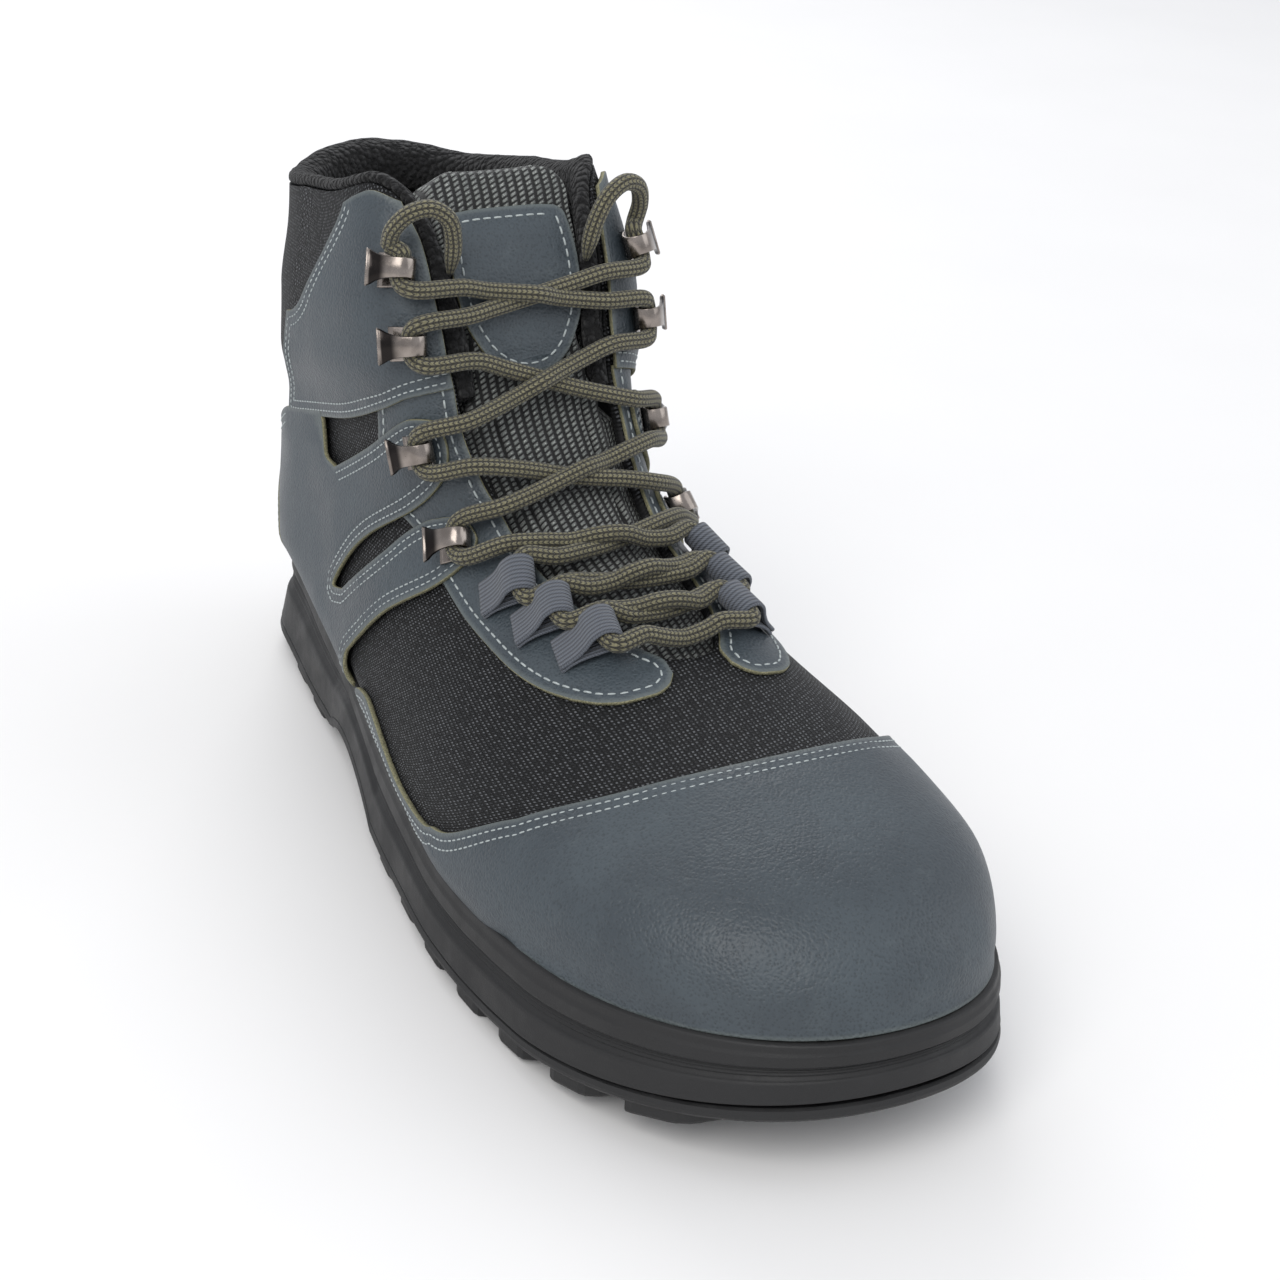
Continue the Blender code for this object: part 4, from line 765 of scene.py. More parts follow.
def stitches(name, seams, pitch=0.0021, length=0.0016, thread=0.00021):
    """Short humps of thread along lines over the last, one every pitch, as one mesh."""
    spots = []
    for line, height in seams:
        fine = lifted(line[:, 0], wrap(line[:, 1]), np.broadcast_to(height, len(line)))
        normal = outward(line[:, 0], wrap(line[:, 1]))
        run = np.concatenate([[0], np.cumsum(np.linalg.norm(np.diff(fine, axis=0), axis=1))])
        middle = np.arange(pitch / 2, run[-1] - pitch * 0.3, pitch)
        spots.append(np.stack([np.stack([np.interp(at, run, values[:, k]) for k in range(3)], axis=1)
                               for values, at in ((fine, middle), (normal, middle),
                                                  (fine, middle - length / 2), (fine, middle + length / 2))]))
    centre, up, first, last = np.concatenate(spots, axis=1)
    along, up = unit(last - first), unit(up)
    across = np.cross(along, up)
    place, rise, girth = np.array(STITCH_SHAPE).T
    turn = np.arange(STITCH_SIDES) * 2 * math.pi / STITCH_SIDES
    hub = (centre[:, None] + along[:, None] * (place * length / 2)[:, None]
           + up[:, None] * (rise * thread)[:, None])
    round_ = np.cos(turn)[:, None] * across[:, None] + np.sin(turn)[:, None] * up[:, None]
    points = hub[:, :, None] + (girth * thread)[:, None, None] * round_[:, None]
    rings = len(STITCH_SHAPE)
    starts = np.arange(len(centre))[:, None, None] * rings * STITCH_SIDES
    caps = np.array([np.arange(STITCH_SIDES), (rings - 1) * STITCH_SIDES + np.arange(STITCH_SIDES)])
    faces = (grid_faces(rings, STITCH_SIDES, True)[None] + starts).reshape(-1, 4).tolist()
    faces += (caps[None] + starts).reshape(-1, STITCH_SIDES).tolist()
    add_piece(name, points, faces, thread_finish)


def above_sole(side, row_from, row_to, count, rise=0.0012):
    """Edge points at even rows along the sole on one side, a rise in metres above where it meets."""
    rows, degrees = feather_line(side, rise)
    return [(float(r), float(np.interp(r, rows, np.abs(degrees))))
            for r in np.linspace(row_from, row_to, count)]


def throat_margin(row_from, row_to, count, margin=0.6):
    """Edge points at even rows along the throat, a margin in degrees back from its edge."""
    rows, degrees = top_line()
    top = int(np.argmax(rows))
    return [(float(r), float(np.interp(r, rows[:top], degrees[:top])) - margin)
            for r in np.linspace(row_from, row_to, count)]


def past_front(points):
    """The same edge points on the other side of the front, their degrees running on past 180."""
    return [(row, 360.0 - degrees) for row, degrees in points]


double_seams, single_seams = [], []
SIDES = {"lateral": -1, "medial": 1}

# Facing: a strip of the same leather along each side of the throat, which stiffens it. It is sewn on
# with one row of larger stitches, under the quarter's fingers and the webbing.
for word, side in SIDES.items():
    top = [throat_margin(13.3, 13.3, 1)[0], (13.2, 141.0), (12.9, 117.5)]
    outer = [top[-1], (12.2, 115.5), (11.4, 113.6), (10.4, 117.0), (9.40, 125.0), (8.6, 128.6), (7.9, 130.0),
             (7.40, 131.0), (6.6, 136.0), (6.16, 141.5), (5.88, 147.0)]
    toe_end = [outer[-1], (5.70, 153.0), (5.62, 159.0), (5.61, 165.0), (5.68, 169.5), (5.82, 172.2)]
    inner = [toe_end[-1], (6.00, 172.4)] + throat_margin(6.3, 13.3, 12)
    single_seams += leather_panel("facing_" + word, [top, outer, toe_end, inner], ["eyestay_" + word],
                                  base=0.0002, thickness=0.0010, mirror=side, seams=(0.0027,),
                                  seam_edges=[1, 2, 3])

# Quarter: the main side panel, from the heel to two fingers that reach over the facing and carry the
# two lower hooks, with a window of mesh between them.
for word, side in SIDES.items():
    low_edge = above_sole(side, 8.82, 7.35, 5)
    front = [low_edge[-1], (7.50, 80.0), (7.66, 93.5)]
    finger_b = [front[-1], (7.82, 110.5), (7.86, 125.0), (8.04, 138.0), (8.50, 147.2), (8.96, 145.2),
                (9.12, 135.5), (8.66, 115.5), (8.34, 96.0)]
    window = [finger_b[-1], (8.44, 93.4), (8.60, 96.5)]
    finger_a = [window[-1], (9.14, 111.0), (9.56, 127.5), (10.32, 140.0), (10.85, 145.2), (11.70, 150.8),
                (12.34, 148.4), (12.46, 136.0), (11.80, 111.5), (11.45, 97.0)]
    rise = [finger_a[-1], (11.7, 93.6), (12.62, 92.6)]
    top = [rise[-1], (12.62, 80.0), (12.35, 60.0), (12.25, 44.0), (12.3, 34.0)]
    rear = [top[-1], (11.55, 50.5), (10.6, 61.0), (9.6, 54.0), low_edge[0]]
    edges = [low_edge, front, finger_b, window, finger_a, rise, top, rear]
    for line, height in leather_panel("side_panel_" + word, edges, ["quarter_" + word], base=0.0013,
                                      mirror=side, seam_edges=[1, 2, 3, 4, 6]):
        turned = np.abs(wrap(line[:, 1]))
        under_ankle_panel = (line[:, 0] > 11.9) & (turned > 77.0) & (turned < 100.0)
        double_seams.append((line[~under_ankle_panel], height))

# Ankle panel: the high piece round the front of the ankle, over the facing and the quarter, which
# carries the two upper hooks.
for word, side in SIDES.items():
    bottom = [(12.50, 80.0), (12.46, 98.0), (12.76, 122.0), (13.06, 140.0), throat_margin(13.2, 13.2, 1)[0]]
    front = throat_margin(13.2, 16.72, 7)
    front[0] = bottom[-1]
    crown = [front[-1], (16.88, 132.0), (16.80, 118.0), (16.68, 108.0)]
    rear = [crown[-1], (16.0, 97.0), (14.9, 91.0), (13.7, 86.0), bottom[0]]
    double_seams += leather_panel("shaft_panel_" + word, [bottom, front, crown, rear],
                                  ["ankle_panel_" + word], base=0.0012, mirror=side, seam_edges=[0, 3])

# Heel counter: a cupped piece of the same leather round the heel, laid over the upper's back seam and
# the rear of both quarters, and sewn down all round but at the sole.
rows = [8.92, 9.5, 10.0, 10.25, 10.45, 10.58]
lower = ([(r, -above_sole(-1, r, r, 1)[0][1]) for r in rows]
         + [above_sole(1, r, r, 1)[0] for r in rows[::-1]])
right = [lower[-1], (9.6, 59.5), (10.6, 66.5), (11.55, 54.0), (12.30, 38.0), (13.3, 22.0)]
top = [right[-1], (13.55, 11.0), (13.6, 0.0), (13.55, -11.0), (13.3, -22.0)]
left = [(r, -d) for r, d in right[::-1]]
double_seams += leather_panel("heel_cup", [lower, right, top, left], ["heel_counter"], base=0.0016,
                              seam_edges=[1, 2, 3])

# Toe cap: one moulded piece of slightly thicker leather over the toes, which runs back along the sole
# on both sides as a low guard and is sewn down along its upper edge.
GUARD_ROW = 7.12
TOE_RISE = 0.0004
low = above_sole(-1, GUARD_ROW, 0.4, 14, TOE_RISE) + above_sole(-1, 0.28, 0.02, 5, TOE_RISE)
low += past_front(above_sole(1, 0.02, 0.28, 5, TOE_RISE))
low += past_front(above_sole(1, 0.4, GUARD_ROW, 14, TOE_RISE))
right = [low[-1]] + past_front([(7.24, 80.0), (7.05, 88.0), (6.2, 84.0), (5.35, 92.0), (4.8, 118.0)])
arch = [right[-1]] + past_front([(4.52, 148.0)]) + [(4.44, 180.0), (4.52, 148.0), (4.8, 118.0)]
left = past_front(right[::-1])
left[-1] = low[0]
double_seams += leather_panel("toe_guard", [low, right, arch, left], ["toe_cap"], base=0.0004,
                              thickness=0.0014, cell=1.5, seam_edges=[1, 2, 3])

# Label: a plain shield of the same leather with nothing on it, set a little into the tongue's face and
# sewn to it with one row of larger stitches.
TONGUE_RECESS = 0.0025
shape = [(16.60, 0.40), (16.50, 0.465), (15.8, 0.47), (14.9, 0.42), (14.2, 0.335), (13.6, 0.20), (13.35, 0.0)]
right = [(row, float(front_degrees(row, share))) for row, share in shape]
left = past_front(right[::-1])
single_seams += leather_panel("label_shield", [right, left, [left[-1], (16.63, 180.0), right[0]]],
                              ["tongue_label"], base=0.0003 - TONGUE_RECESS, cell=1.0, seams=(0.0028,))
stitches("seam_stitches", double_seams)
stitches("facing_stitches", single_seams, pitch=0.0029, length=0.0023, thread=0.00028)

# Tongue: foam in a chunky ribbed knit, with a raised middle, a rolled top and thin wings that fold
# in under the facings.
LINING = 0.0040
LINING_SEAT = 0.0018
TONGUE_THICKNESS = 0.0075
TONGUE_CLEARANCE = 0.0012
TONGUE_ROWS = [5.4, 7.0, 10.0, 12.6, 13.2, 14.2, 15.0, 16.3, 17.2]
TONGUE_HALF = [0.34, 0.52, 0.72, 0.74, 0.74, 0.74, 0.74, 0.76, 0.76]
CROWN_HALF = [0.00, 0.27, 0.46, 0.50, 0.41, 0.36, 0.42, 0.52, 0.56]
RIB = 0.0024
BAR = 0.0013
ROLL = 0.0034
RIB_RISE = 0.00030
TONGUE_STATIONS = 330
TONGUE_PLACES = 151

# The two seams down the padded middle, as rows and shares of the half width, and the crease across it
TONGUE_SEAM = [(5.4, 0.10), (7.0, 0.20), (9.0, 0.34), (12.4, 0.36), (13.2, 0.45)]
TONGUE_SEAM_REACH = 0.022
TONGUE_SEAM_DEPTH = 0.0011
CREASE_ROW = 9.6
CREASE_REACH = 0.16
CREASE_DEPTH = 0.0010
TOP_SWELL = 0.0011

knit_finish = Finish("ribbed_knit", roughness=0.82, Sheen_Weight=0.25, Sheen_Roughness=0.5)
u, v = knit_finish.across()
rib = (u * (math.pi / RIB)).sine().size()
column = (u * (1 / RIB)).fraction() - 0.5
bar = ((v - column * (0.9 * BAR)) * (math.pi / BAR)).sine().size()
yarn = rib.ramp(0.35, 0.9) * bar.ramp(0.3, 0.9)
tone = knit_finish.noise(60.0, 2.0).ramp(0.3, 0.7).blend(srgb(101, 106, 103), srgb(123, 127, 123))
tone = knit_finish.noise(2400.0, 2.0).ramp(0.5, 0.72).blend(tone, srgb(168, 172, 166))
knit_finish.colour(yarn.ramp(0.1, 0.75).blend(srgb(13, 14, 14), tone))
knit_finish.bump(yarn + 0.15 * knit_finish.noise(2600.0), 0.0007)


def corner(row):
    """Share by which the tongue narrows to its rounded top corners."""
    return np.sqrt(1 - 0.72 * np.clip((row - 16.72) / 0.5, 0, 1) ** 2.4)


def tongue_front(row, share):
    """Height of the tongue's face: low wings, a raised middle, and a padded bulge between its seams."""
    crown = np.interp(row, TONGUE_ROWS, CROWN_HALF) * corner(row)
    step = np.interp(row, [16.4, 17.2], [0.07, 0.16])
    lining = np.interp(row, [11.8, 12.5], [0.0, LINING + LINING_SEAT])
    low = -(WALL + TONGUE_CLEARANCE) - lining
    high = np.interp(row, [6.5, 7.2], [-(WALL + TONGUE_CLEARANCE), -TONGUE_RECESS])
    blend = np.clip((crown + step - np.abs(share)) / step, 0.0, 1.0)
    blend = blend * blend * (3 - 2 * blend)
    seam_at = np.interp(row, *zip(*TONGUE_SEAM))
    padded = np.interp(row, [7.0, 8.5, 12.2, 13.0], [0.0, 1.0, 1.0, 0.0])
    seam_dip = padded * TONGUE_SEAM_DEPTH * np.exp(-((np.abs(share) - seam_at) / TONGUE_SEAM_REACH) ** 2)
    crease = np.exp(-((row - CREASE_ROW) / CREASE_REACH) ** 2) * np.clip(1 - np.abs(share) / 0.4, 0, 1)
    above = np.interp(row, [16.55, 16.8], [0.0, TOP_SWELL])
    return low + (high - low) * blend - seam_dip - CREASE_DEPTH * crease + above * blend


def front_half_width(row):
    """Half the width of the front face at a row, in metres."""
    return 0.5 * (section_values(row)[4] + section_values(row)[5])


tongue_rows = np.linspace(TONGUE_ROWS[0], TONGUE_ROWS[-1], TONGUE_STATIONS)[:, None]
tongue_across = np.linspace(-1, 1, TONGUE_PLACES)[None, :]
tongue_share = tongue_across * corner(tongue_rows) * np.interp(tongue_rows, TONGUE_ROWS, TONGUE_HALF)
tongue_degrees = np.sign(tongue_share + 1e-9) * front_degrees(tongue_rows, tongue_share)
tongue_rows = tongue_rows + 0 * tongue_share
centre_line = surface(tongue_rows[:, TONGUE_PLACES // 2], np.full(len(tongue_rows), 180.0))
climb = np.concatenate([[0], np.cumsum(np.linalg.norm(np.diff(centre_line, axis=0), axis=1))])
side_round = np.sqrt(np.clip(1 - np.abs(tongue_across) ** 8, 0.02, 1))
from_top = (climb[-1] - climb)[:, None]
top_round = np.sqrt(np.clip(1 - np.clip(1 - from_top / ROLL, 0, 1) ** 2, 0.01, 1))
face_height = tongue_front(tongue_rows, tongue_share)
thin = 1 - 0.7 * np.abs(tongue_across) ** 3
middle_height = face_height - TONGUE_THICKNESS * thin / 2
half_thick = TONGUE_THICKNESS * thin / 2 * side_round * top_round
tongue_u = tongue_share * front_half_width(tongue_rows)
tongue_v = climb[:, None] + 0 * tongue_share
ribs = np.abs(np.sin(math.pi * tongue_u / RIB)) ** 0.6
bumpy = RIB_RISE * (ribs - 0.7)
tongue_outer = lifted(tongue_rows, tongue_degrees, middle_height + half_thick + bumpy)
tongue_inner = lifted(tongue_rows, tongue_degrees, middle_height - half_thick)
points, faces = walled(tongue_outer, tongue_inner, TONGUE_STATIONS, TONGUE_PLACES, closed=False)
cloth = np.stack([tongue_u, tongue_v], axis=-1).reshape(-1, 2)
tongue = add_piece("knit_tongue", points, faces, knit_finish, ["tongue"],
                   cloth=np.concatenate([cloth, cloth]))

# Collar lining: black fleece over foam, turned out past the leather round the collar and down both
# sides of the throat.
LINING_START = 12.8
ROLL_SEAT = 0.0009
ROLL_REACH = [(12.8, 0.0042), (14.2, 0.0054), (15.0, 0.0050), (16.3, 0.0040), (16.8, 0.0032), (17.0, 0.0030)]
LINING_DEPTH = 0.1
LINING_GAP = 0.0009
FLEECE_UNEVEN = 0.00012
LINING_STATIONS = 150
ROUND_POINTS = 28

fleece_finish = Finish("black_fleece", roughness=0.95, Sheen_Weight=0.08, Sheen_Roughness=0.5)
loops = fleece_finish.cells(620.0)
fuzz = fleece_finish.noise(1400.0, 3.0)
fleece_finish.colour((loops.ramp(0.75, 0.2) * fuzz.ramp(0.3, 0.7)).blend(srgb(5, 5, 6), srgb(34, 34, 36)))
fleece_finish.bump(loops.ramp(0.8, 0.1) + fuzz * 0.5, 0.0012)


def closed_round(points, count):
    """A closed ring through control points, smoothed twice by cutting its corners, as even points."""
    for _ in range(2):
        after = np.roll(points, -1, axis=1)
        points = np.stack([0.75 * points + 0.25 * after, 0.25 * points + 0.75 * after],
                          axis=2).reshape(len(points), -1, 3)
    at = np.linspace(0, points.shape[1], count, endpoint=False)
    low = at.astype(int)
    share = (at - low)[None, :, None]
    return points[:, low] * (1 - share) + points[:, (low + 1) % points.shape[1]] * share


def lining_rings():
    """Sections of the lining from the outer side of the throat round the heel to the inner side."""
    around = np.linspace(0, 1, 361)
    rings = []
    for side in (-1, 1):
        rows, degrees = side_grid(side, around, np.array([1 - LINING_DEPTH, 1.0]))
        places, normals = surface(rows, degrees), outward(rows, degrees)
        tangent = np.gradient(places[1], axis=0)
        beyond = unit(np.cross(normals[1], tangent))
        beyond *= np.sign(np.sum(beyond * (places[1] - places[0]), axis=1, keepdims=True))
        keep = rows[1] >= LINING_START
        deep, edge, out_deep, out_edge, beyond = (v[keep] for v in (places[0], places[1], normals[0],
                                                                   normals[1], beyond))
        reach = np.interp(rows[1][keep], *zip(*ROLL_REACH))[:, None]
        hidden = WALL + LINING_GAP
        ring = np.stack([
            deep - out_deep * hidden,
            deep - out_deep * (hidden + 0.3 * LINING),
            0.5 * (deep + edge) - 0.5 * (out_deep + out_edge) * (hidden + LINING),
            edge + beyond * 0.2 * reach - out_edge * (hidden + LINING),
            edge + beyond * 1.12 * reach - out_edge * 0.9 * (hidden + LINING) / 2,
            edge + beyond * 0.95 * reach + out_edge * 0.0003,
            edge + beyond * ROLL_SEAT * 0.4 + out_edge * 0.0002,
            edge + beyond * ROLL_SEAT * 0.3 - out_edge * hidden,
        ], axis=1)
        rings.append(ring if side < 0 else ring[::-1][1:])
    rings = np.concatenate(rings)
    cut = even_shares(rings[:, 4], LINING_STATIONS * 2)
    low = np.minimum(cut.astype(int), len(rings) - 2)
    share = (cut - low)[:, None, None]
    return rings[low] * (1 - share) + rings[low + 1] * share


rings = closed_round(lining_rings(), ROUND_POINTS)
count = len(rings)
wobble = (np.sin(np.arange(count) * 0.9)[:, None] * np.sin(np.arange(ROUND_POINTS) * 1.7)[None, :])
centres = rings.mean(axis=1, keepdims=True)
rings += unit(rings - centres) * (FLEECE_UNEVEN * wobble)[..., None]
faces = grid_faces(count, ROUND_POINTS, True).tolist()
faces += [list(range(ROUND_POINTS)), [(count - 1) * ROUND_POINTS + k for k in range(ROUND_POINTS)]]
lining = add_piece("fleece_lining", rings, faces, fleece_finish, ["collar_lining"])

# Speed hooks: nickel strips riveted to the panels, bent round at the throat side, with a curled roof
# that flares at its open end.
HOOK_PLACES = [(15.75, 144.0, 139.5), (14.40, 146.5, 141.5), (11.62, 138.5, 134.5), (8.40, 140.0, 138.5)]
LOOP_PLACES = [(7.46, 147.0, 146.0), (6.92, 150.5, 149.5), (6.42, 157.0, 156.0)]
HOOK_WIDTH = 0.0085
HOOK_PLATE = 0.0010
HOOK_SEAT = 0.0031

# A bent strip's points: towards the throat, out from the leather, and width as a share of the widest
HOOK_PROFILE = [(-0.0042, 0.0, 1.0), (0.0020, 0.0, 0.95), (0.0042, 0.0001, 0.82), (0.0056, 0.0013, 0.66),
                (0.0059, 0.0032, 0.58), (0.0051, 0.0051, 0.56), (0.0032, 0.0062, 0.58),
                (0.0004, 0.0065, 0.62), (-0.0022, 0.0066, 0.76), (-0.0040, 0.0069, 0.96),
                (-0.0052, 0.0076, 1.08)]
HOOK_CURL = 0.0020

# Places along the strip, in metres, where its shaded mouth begins and where its bright rim ends it
MOUTH = (0.0188, 0.0214)
RIM = (0.0247, 0.0240)

metal_finish = Finish("nickel", roughness=0.24, metallic=1.0)
scratch = metal_finish.noise(900.0, 4.0, 0.7)
smear = metal_finish.noise(220.0, 2.0)
bright = smear.ramp(0.3, 0.7).blend(srgb(128, 120, 114), srgb(156, 147, 140))
along_strip = metal_finish.across()[1]
shaded = along_strip.ramp(*MOUTH) * along_strip.ramp(*RIM)
metal_finish.colour(shaded.blend(bright, srgb(44, 41, 40)))
metal_finish.link(scratch.ramp(0.35, 0.7, 0.18, 0.30), "Roughness")


def fitting_frame(row, degrees):
    """At a place on the last: the point, the way to the throat, the way up it, and straight out."""
    side = math.copysign(1.0, degrees)
    base, normal = surface(row, degrees), outward(row, degrees)
    toward = surface(row, degrees + side) - base
    toward = unit(toward - normal * (toward @ normal))
    along = np.cross(normal, toward)
    if along @ (surface(row + 0.05, degrees) - base) < 0:
        along = -along
    return base, toward, along, normal


def band(place, profile, seat, half_width, thickness, curl=0.0, steps=48, corners=5):
    """A strip bent along a profile, its section a rounded rectangle: points and faces, and its UV."""
    base, toward, along, normal = place
    knots = np.arange(len(profile))
    at = np.linspace(0, len(profile) - 1, steps)
    h, n, width = (smooth_curve(knots, [p[i] for p in profile], at) for i in range(3))
    run = np.stack([np.gradient(h), np.gradient(n)], axis=1)
    run /= np.linalg.norm(run, axis=1, keepdims=True)
    turn = np.arange(4 * corners) / (4 * corners - 1e-9) * 2 * math.pi
    ring_w, ring_t = np.cos(turn), np.sin(turn)
    round_w = np.sign(ring_w) * (1 - thickness / 2 / half_width * (1 - np.abs(ring_w)))
    round_t = np.sign(ring_t) * np.abs(ring_t) ** 0.7
    t = round_t[None, :] * thickness / 2
    w = round_w[None, :] * half_width * width[:, None]
    bend = np.clip((at / (len(profile) - 1) - 0.45) / 0.3, 0, 1)[:, None] * curl * (w / half_width) ** 2
    hh = h[:, None] - run[:, 1:2] * t
    nn = n[:, None] + run[:, :1] * t - bend
    points = (base + hh[..., None] * toward + (seat + nn)[..., None] * normal + w[..., None] * along)
    ring = len(turn)
    faces = grid_faces(steps, ring, True).tolist()
    faces += [list(range(ring)), [(steps - 1) * ring + k for k in range(ring)]]
    length = np.concatenate([[0], np.cumsum(np.hypot(np.diff(h), np.diff(n)))])
    uv = np.stack([w, length[:, None] + 0 * w], axis=-1)
    return points, faces, uv


for word, side in SIDES.items():
    for number, (row, *degrees) in enumerate(HOOK_PLACES, 1):
        place = fitting_frame(row, side * degrees[side > 0])
        points, faces, uv = band(place, HOOK_PROFILE, HOOK_SEAT, HOOK_WIDTH / 2, HOOK_PLATE * 0.85, HOOK_CURL)
        add_piece(f"speed_hook_{word}_{number}", points, faces, metal_finish,
                  [f"hook_{word}_{number}"], cloth=uv)

# Webbing loops: grey ribbed tape folded into an eye round the lace, its two ends laid on the facing
# and sewn down.
LOOP_WIDTH = 0.0095
TAPE = 0.0011
LOOP_SEAT = 0.0013
LOOP_PROFILE = [(-0.0075, -0.0014, 1.0), (-0.0045, 0.0001, 1.0), (-0.0010, 0.0008, 1.0),
                (0.0040, 0.0010, 1.0), (0.0066, 0.0018, 1.0), (0.0077, 0.0040, 1.0), (0.0066, 0.0062, 1.0),
                (0.0042, 0.0070, 1.0), (0.0015, 0.0060, 1.0), (-0.0010, 0.0036, 1.0), (-0.0032, 0.0019, 1.0),
                (-0.0075, -0.0002, 1.0)]
TAPE_RIB = 0.0011

tape_finish = Finish("grey_tape", roughness=0.75, Sheen_Weight=0.15)
u, v = tape_finish.across()
tape_rib = (u * (math.pi / TAPE_RIB)).sine().size()
thread_line = ((u + v) * (2 * math.pi / 0.0007)).sine()
tape_light = tape_rib * 0.7 + thread_line.ramp(-1, 1) * 0.3
tape_finish.colour(tape_light.blend(srgb(44, 48, 55), srgb(104, 109, 118)))
tape_finish.bump(tape_rib + 0.3 * thread_line.ramp(-1, 1), 0.00035)
for word, side in SIDES.items():
    for number, (row, *degrees) in enumerate(LOOP_PLACES, 1):
        place = fitting_frame(row, side * degrees[side > 0])
        points, faces, uv = band(place, LOOP_PROFILE, LOOP_SEAT + 0.0012, LOOP_WIDTH / 2, TAPE, steps=72)
        add_piece(f"webbing_loop_{word}_{number}", points, faces, tape_finish,
                  [f"lace_loop_{word}_{number}"], cloth=uv)

# Lace: one round olive braid, laced from the bottom bar up through the loops and round the hooks.
# Its two free ends arch over the top hooks and go back in between label and lining.
LACE = 0.0043
STRAND_LIFT = [(0.0, 0.0017), (0.55, 0.0030), (0.90, 0.0049), (1.15, 0.0058), (1.5, 0.0060)]
OVER_LIFT = 0.0036
OVER_WIDTH = 0.15
STRAND_INSET = 0.0094
STRAND_SPREAD = 0.0046
OVER_FROM_OUTER = [True, False, False, True, False, True]
LACE_SIDES = 20
LACE_STEP = 0.00060
BRAID_PITCH = 0.0012
BRAID_ROWS = 10
TUCK = 0.0060
TUCK_GIRTH = 0.35
TUCK_PLACE = (15.5, 180.0)
STRAND_SPAN = (0.08, 0.92)

# Half of the lace's way through a fitting: towards the throat, up along it, and out from the leather
HOOK_PASS = [(0.0058, 0.0050, 0.0060), (0.0030, 0.0036, 0.0060), (0.0019, 0.0, 0.0060)]
LOOP_PASS = [(0.0062, 0.0060, 0.0062), (0.0044, 0.0036, 0.0065), (0.0040, 0.0, 0.0066)]

lace_finish = Finish("olive_braid", roughness=0.78, Sheen_Weight=0.2)
turn_at, run_at = lace_finish.across()
lane = turn_at * BRAID_ROWS
lane_place = lane.fraction() - 0.5
light_row = lane_place.size().ramp(0.36, 0.26)
pick = ((run_at * (1 / BRAID_PITCH) + lane_place.size() * 1.1).fraction() - 0.5).size()
grain = pick.ramp(0.48, 0.28) * (0.5 + 0.5 * light_row)
lace_noise = lace_finish.noise(2200.0, 2.0)
olive = lace_noise.ramp(0.3, 0.7).blend(srgb(94, 90, 68), srgb(130, 125, 97))
brown = lace_noise.ramp(0.3, 0.7).blend(srgb(34, 32, 24), srgb(54, 51, 39))
lace_finish.colour(pick.ramp(0.5, 0.3).blend(srgb(24, 23, 17), light_row.blend(brown, olive)))
lace_finish.bump(grain + 0.15 * lace_noise, 0.0004)


def strand_end(row, degrees, up):
    """Row and signed share of the half width where a strand leaves its hook or loop."""
    side = math.copysign(1.0, degrees)
    here = surface(row, degrees)
    per_degree = np.linalg.norm(surface(row, degrees + side) - here)
    per_row = np.linalg.norm(surface(row + 0.1, degrees) - here) * 10
    turned = math.radians(abs(degrees) + STRAND_INSET / per_degree)
    return row + up * STRAND_SPREAD / per_row, side * math.sin(turned) ** (2 / float(section_values(row)[8]))


def strand(start, end, over, count=7):
    """World points of one strand over the front, from one (row, share) to another."""
    at = np.linspace(*STRAND_SPAN, count)
    rows, share = start[0] + at * (end[0] - start[0]), start[1] + at * (end[1] - start[1])
    degrees = np.where(share < 0, -1, 1) * front_degrees(rows, share)
    throat = np.interp(rows, *zip(*THROAT_EDGE))
    lift = smooth_curve(*zip(*STRAND_LIFT), np.abs(share) / throat)
    return lifted(rows, degrees, lift + over * np.exp(-(share / OVER_WIDTH) ** 2))


def through(row, degrees, is_hook):
    """Points of the lace through one fitting, from above it to below it."""
    base, toward, along, normal = fitting_frame(row, degrees)
    route = HOOK_PASS if is_hook else LOOP_PASS
    route = route + [(h, -v, n) for h, v, n in route[-2::-1]]
    return np.array([base + toward * h + along * v + normal * n for h, v, n in route])


PAIRS = HOOK_PLACES + LOOP_PLACES


def fitting_degrees(index, side):
    """Signed degrees of a hook or loop, whose places differ a little between the two sides."""
    return side * PAIRS[index][1 if side < 0 else 2]


def lace_run(side):
    """The lace from a top hook down to its bottom loop, crossing at every step."""
    parts = []
    for index, (row, *_) in enumerate(PAIRS):
        degrees = fitting_degrees(index, side)
        parts.append(through(row, degrees, index < len(HOOK_PLACES)))
        if index < len(PAIRS) - 1:
            over = OVER_LIFT if OVER_FROM_OUTER[index] == (side < 0) else 0.0
            start = strand_end(row, degrees, -1)
            end = strand_end(PAIRS[index + 1][0], fitting_degrees(index + 1, -side), 1)
            parts.append(strand(start, end, over))
            side = -side
    return np.concatenate(parts), side


